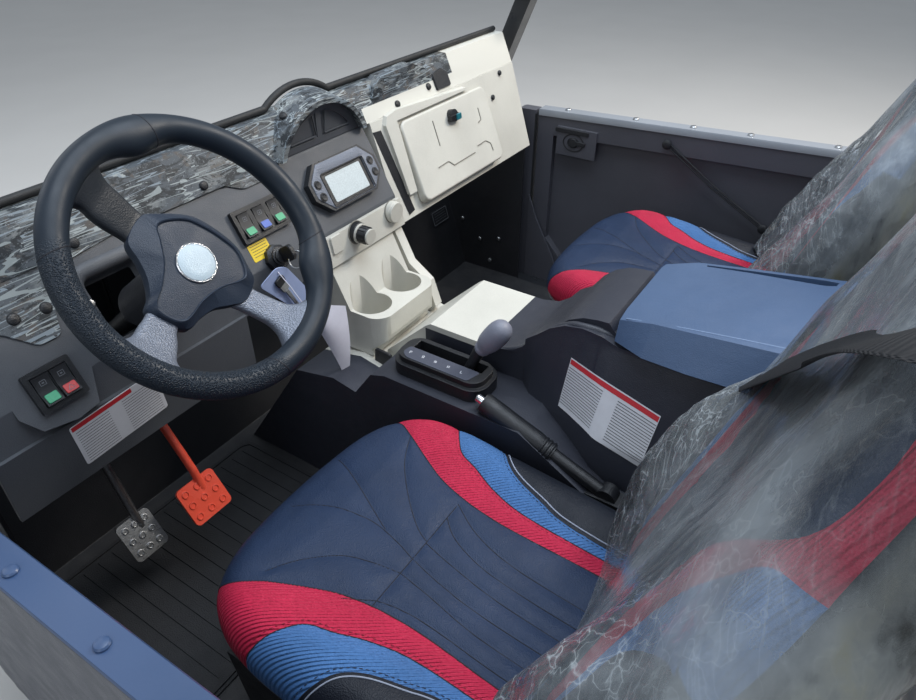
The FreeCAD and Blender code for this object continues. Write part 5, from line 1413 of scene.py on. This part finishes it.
def door_details(side, body):
    rail = np.array([[(side * (DOOR_INSIDE + a), y, RAIL_LOW + door_rise(y) + b) for a, b in RAIL_SECTION]
                     for y in np.linspace(DOOR_FRONT, RAIL_BACK, 24)])
    rail = Shape().grid(rail, around=True, caps=True)
    rail.build(f"{body}_top_edge", "door_edge" if side > 0 else "rail_blue", "door_paint", body=body, smooth=40)
    heads = Shape()
    for y in BOLT_PLACES:
        on_rail = Place((side * DOOR_MIDDLE, y, RAIL_TOP + door_rise(y)), (1, 0, 0), (0, 1, BOLT_TILT))
        heads.head(on_rail, 0, 0, 7.5, 4.5)
    heads.build(f"{body}_bolts", "steel" if side > 0 else "rail_blue", "steel", body=body)
    latch = inwards(side * 752, 298, 466, side)
    lock = Shape()
    for grow, radius in ((1.0, 1.6), (0.55, 1.4)):
        lock.hoop(latch, circle(24 * grow, 40) * (1.15, 0.9), radius, lift=0.4)
    lock.lathe([(12, -0.5), (12, 4), (10.5, 5.4), (4, 5.8)], latch, 30)
    lock.plate(rounded([(6, -6), (34, -5), (34, 5), (6, 6)], 4), latch, 4.4, 1.0)
    lock.plate(rounded(box_outline(-52, 22, 40, 33), 3), latch, 3.2, 0.8)
    lock.build(f"{body}_latch", "black_plastic", "door_paint", body=body)


def door_stay():
    """The strap that stops the right door, between its two bosses."""
    stay = Shape()
    for shift in (0, 15):
        stay.tube([(754, 62 - shift, 507), (755, -60 - shift, 428), (759, -196 - shift, 352)], 3.0, 10, flat=0.7)
    for y, z in ((58, 508), (-200, 356)):
        stay.head(inwards(752, y, z), 0, 0, 11, 5)
    stay.build("right_door_stay", "black_plastic", "door_paint", body="door_right")


def door_jamb(side, name):
    """Plastic trim in front of the door's free edge, with a rubber bead, on the sill."""
    outline = rounded([(750, 409), (784, 409), (784, 452), (778, 456), (750, 456)], 3)
    rows = np.array([np.column_stack([outline[:, 0] * side, outline[:, 1], np.full(len(outline), z)])
                     for z in (50.0, 52, 524, 531)])
    rows[-1][:, 2] -= (rows[-1][:, 1] - 409) * 0.02
    jamb = Shape().grid(rows[:, ::side], around=True, caps=True)
    kick = [(-side * y, z) for y, z in ((412, 50), (412, 300), (385, 235), (326, 130), (300, 50))]
    jamb.plate(kick, inwards(side * 750, 0, 0, side), 5)
    jamb.build(f"{name}_jamb", "door_paint", "black_plastic", smooth=40)
    bead = Shape().tube([(side * 754, 410, z) for z in (56, 200, 380, 522)], 4, 10)
    bead.build(f"{name}_jamb_bead", "seal_rubber")


def floor_details():
    ground = Place((0, 0, 58), *LEVEL)
    mat = Shape().plate(rounded(box_outline(-692, 180, -214, 560), 20), ground, 3.0, 0.8)
    for x in range(-664, -243, 28):
        mat.line(ground, [(x, 200), (x, 380), (x, 540)], 7, 4.6)
    border = np.vstack([rounded(box_outline(-684, 188, -222, 552), 16), [(-684, 204)]])
    mat.line(ground, evenly(border, 20), 6, 5.4)
    mat.build("driver_mat", "mat_rubber", "black_plastic")
    heads = Shape()
    for y, z in ((504, 90), (477, 167), (540, 150), (600, 200)):
        heads.head(inwards(699.5, y, z), 0, 0, 6, 4)
    heads.build("cowl_bolts", "steel")


def pedal_tread(name, look, middle, across, ring):
    """Nine raised rings on a pedal's pad."""
    tread, pad = Shape(), Place(middle, (1, 0, 0), (0, 0.5736, 0.8192))
    for a in (-across, 0, across):
        for b in (-22, 0, 22):
            tread.lathe(ring, pad.at(a, b), 20)
    tread.build(name, look)


SIDES = (-1, "left"), (1, "right")
for side, name in SIDES:
    door_details(side, f"door_{name}")
door_stay()
for side, name in SIDES:
    door_jamb(side, name)
floor_details()
pedal_tread("accelerator_tread", "red_paint", (-442, 388, 195), 24, [(6.4, 4.6), (6.4, 6.6), (4.6, 6.8), (4.2, 5.2)])
pedal_tread("brake_tread", "steel", (-540, 432, 168), 18, [(5.6, 4.6), (5.6, 6.8), (4.2, 7), (3.6, 5.2)])


# Stage, light and camera.

FLOOR_HALF = 60.0
LENS, CAMERA_AT = 27.47, (-0.887, -0.414, 1.090)
CAMERA_AHEAD, CAMERA_RIGHT = (0.6785, 0.4406, -0.5878), (0.5446, -0.8387, 0.0)
WORLD_LIGHT, WORLD_SEEN = ((0.82, 0.90, 1.0, 1), 0.42), ((0.80, 0.80, 0.80, 1), 1.0)
# Name, place, aim, size, power, colour.
LAMPS = [
    ("key", (1.9, -1.2, 2.6), (0.3, 0.25, 0.45), 0.9, 68, (1.0, 0.93, 0.84)),
    ("sky", (0.1, -0.2, 3.2), (-0.1, 0.1, 0.3), 2.6, 84, (0.80, 0.89, 1.0)),
    ("side", (-2.4, -0.2, 1.9), (-0.2, 0.2, 0.4), 1.6, 12, (0.85, 0.92, 1.0)),
    ("front", (-0.6, 2.7, 2.2), (0, 0.2, 0.5), 2.0, 12, (0.92, 0.96, 1.0))]


def stage_floor():
    mesh = bpy.data.meshes.new("floor")
    mesh.from_pydata([(x, y, 0) for x, y in box_outline(-FLOOR_HALF, -FLOOR_HALF, FLOOR_HALF, FLOOR_HALF)],
                     [], [(0, 1, 2, 3)])
    obj = bpy.data.objects.new("floor", mesh)
    scene.collection.objects.link(obj)
    look = Look("floor", (0.60, 0.59, 0.57), 0.8)
    look.shade(look.noise(3, 3), 0.97)
    look.done()
    mesh.materials.append(look.material)


def lighting():
    """Soft lamps, and a world that lights the object but shows the camera a plain pale grey."""
    scene.world = bpy.data.worlds.new("studio")
    scene.world.use_nodes = True
    tree = scene.world.node_tree
    light, seen = tree.nodes["Background"], tree.nodes.new("ShaderNodeBackground")
    for node, (colour, strength) in ((light, WORLD_LIGHT), (seen, WORLD_SEEN)):
        node.inputs["Color"].default_value = colour
        node.inputs["Strength"].default_value = strength
    path, mix = tree.nodes.new("ShaderNodeLightPath"), tree.nodes.new("ShaderNodeMixShader")
    for socket, source in zip(mix.inputs, (path.outputs["Is Camera Ray"], light.outputs[0], seen.outputs[0])):
        tree.links.new(source, socket)
    tree.links.new(mix.outputs[0], tree.nodes["World Output"].inputs["Surface"])
    for name, place, aim, size, power, colour in LAMPS:
        data = bpy.data.lights.new(name, "AREA")
        data.shape, data.size, data.energy, data.color = "DISK", size, power, colour
        obj = bpy.data.objects.new(name, data)
        obj.location = place
        obj.rotation_euler = (Vector(aim) - Vector(place)).to_track_quat("-Z", "Y").to_euler()
        scene.collection.objects.link(obj)
    scene.view_settings.view_transform = "Standard"


def camera():
    data = bpy.data.cameras.new("camera")
    data.sensor_width, data.sensor_fit, data.lens, data.clip_start = 36, "HORIZONTAL", LENS, 0.01
    obj = bpy.data.objects.new("camera", data)
    ahead, right = Vector(CAMERA_AHEAD), Vector(CAMERA_RIGHT).normalized()
    up = right.cross(ahead).normalized()
    turn = Matrix((right, up, -ahead.normalized())).transposed().to_4x4()
    obj.matrix_world = Matrix.Translation(CAMERA_AT) @ turn
    scene.collection.objects.link(obj)
    scene.camera = obj


stage_floor()
lighting()
camera()
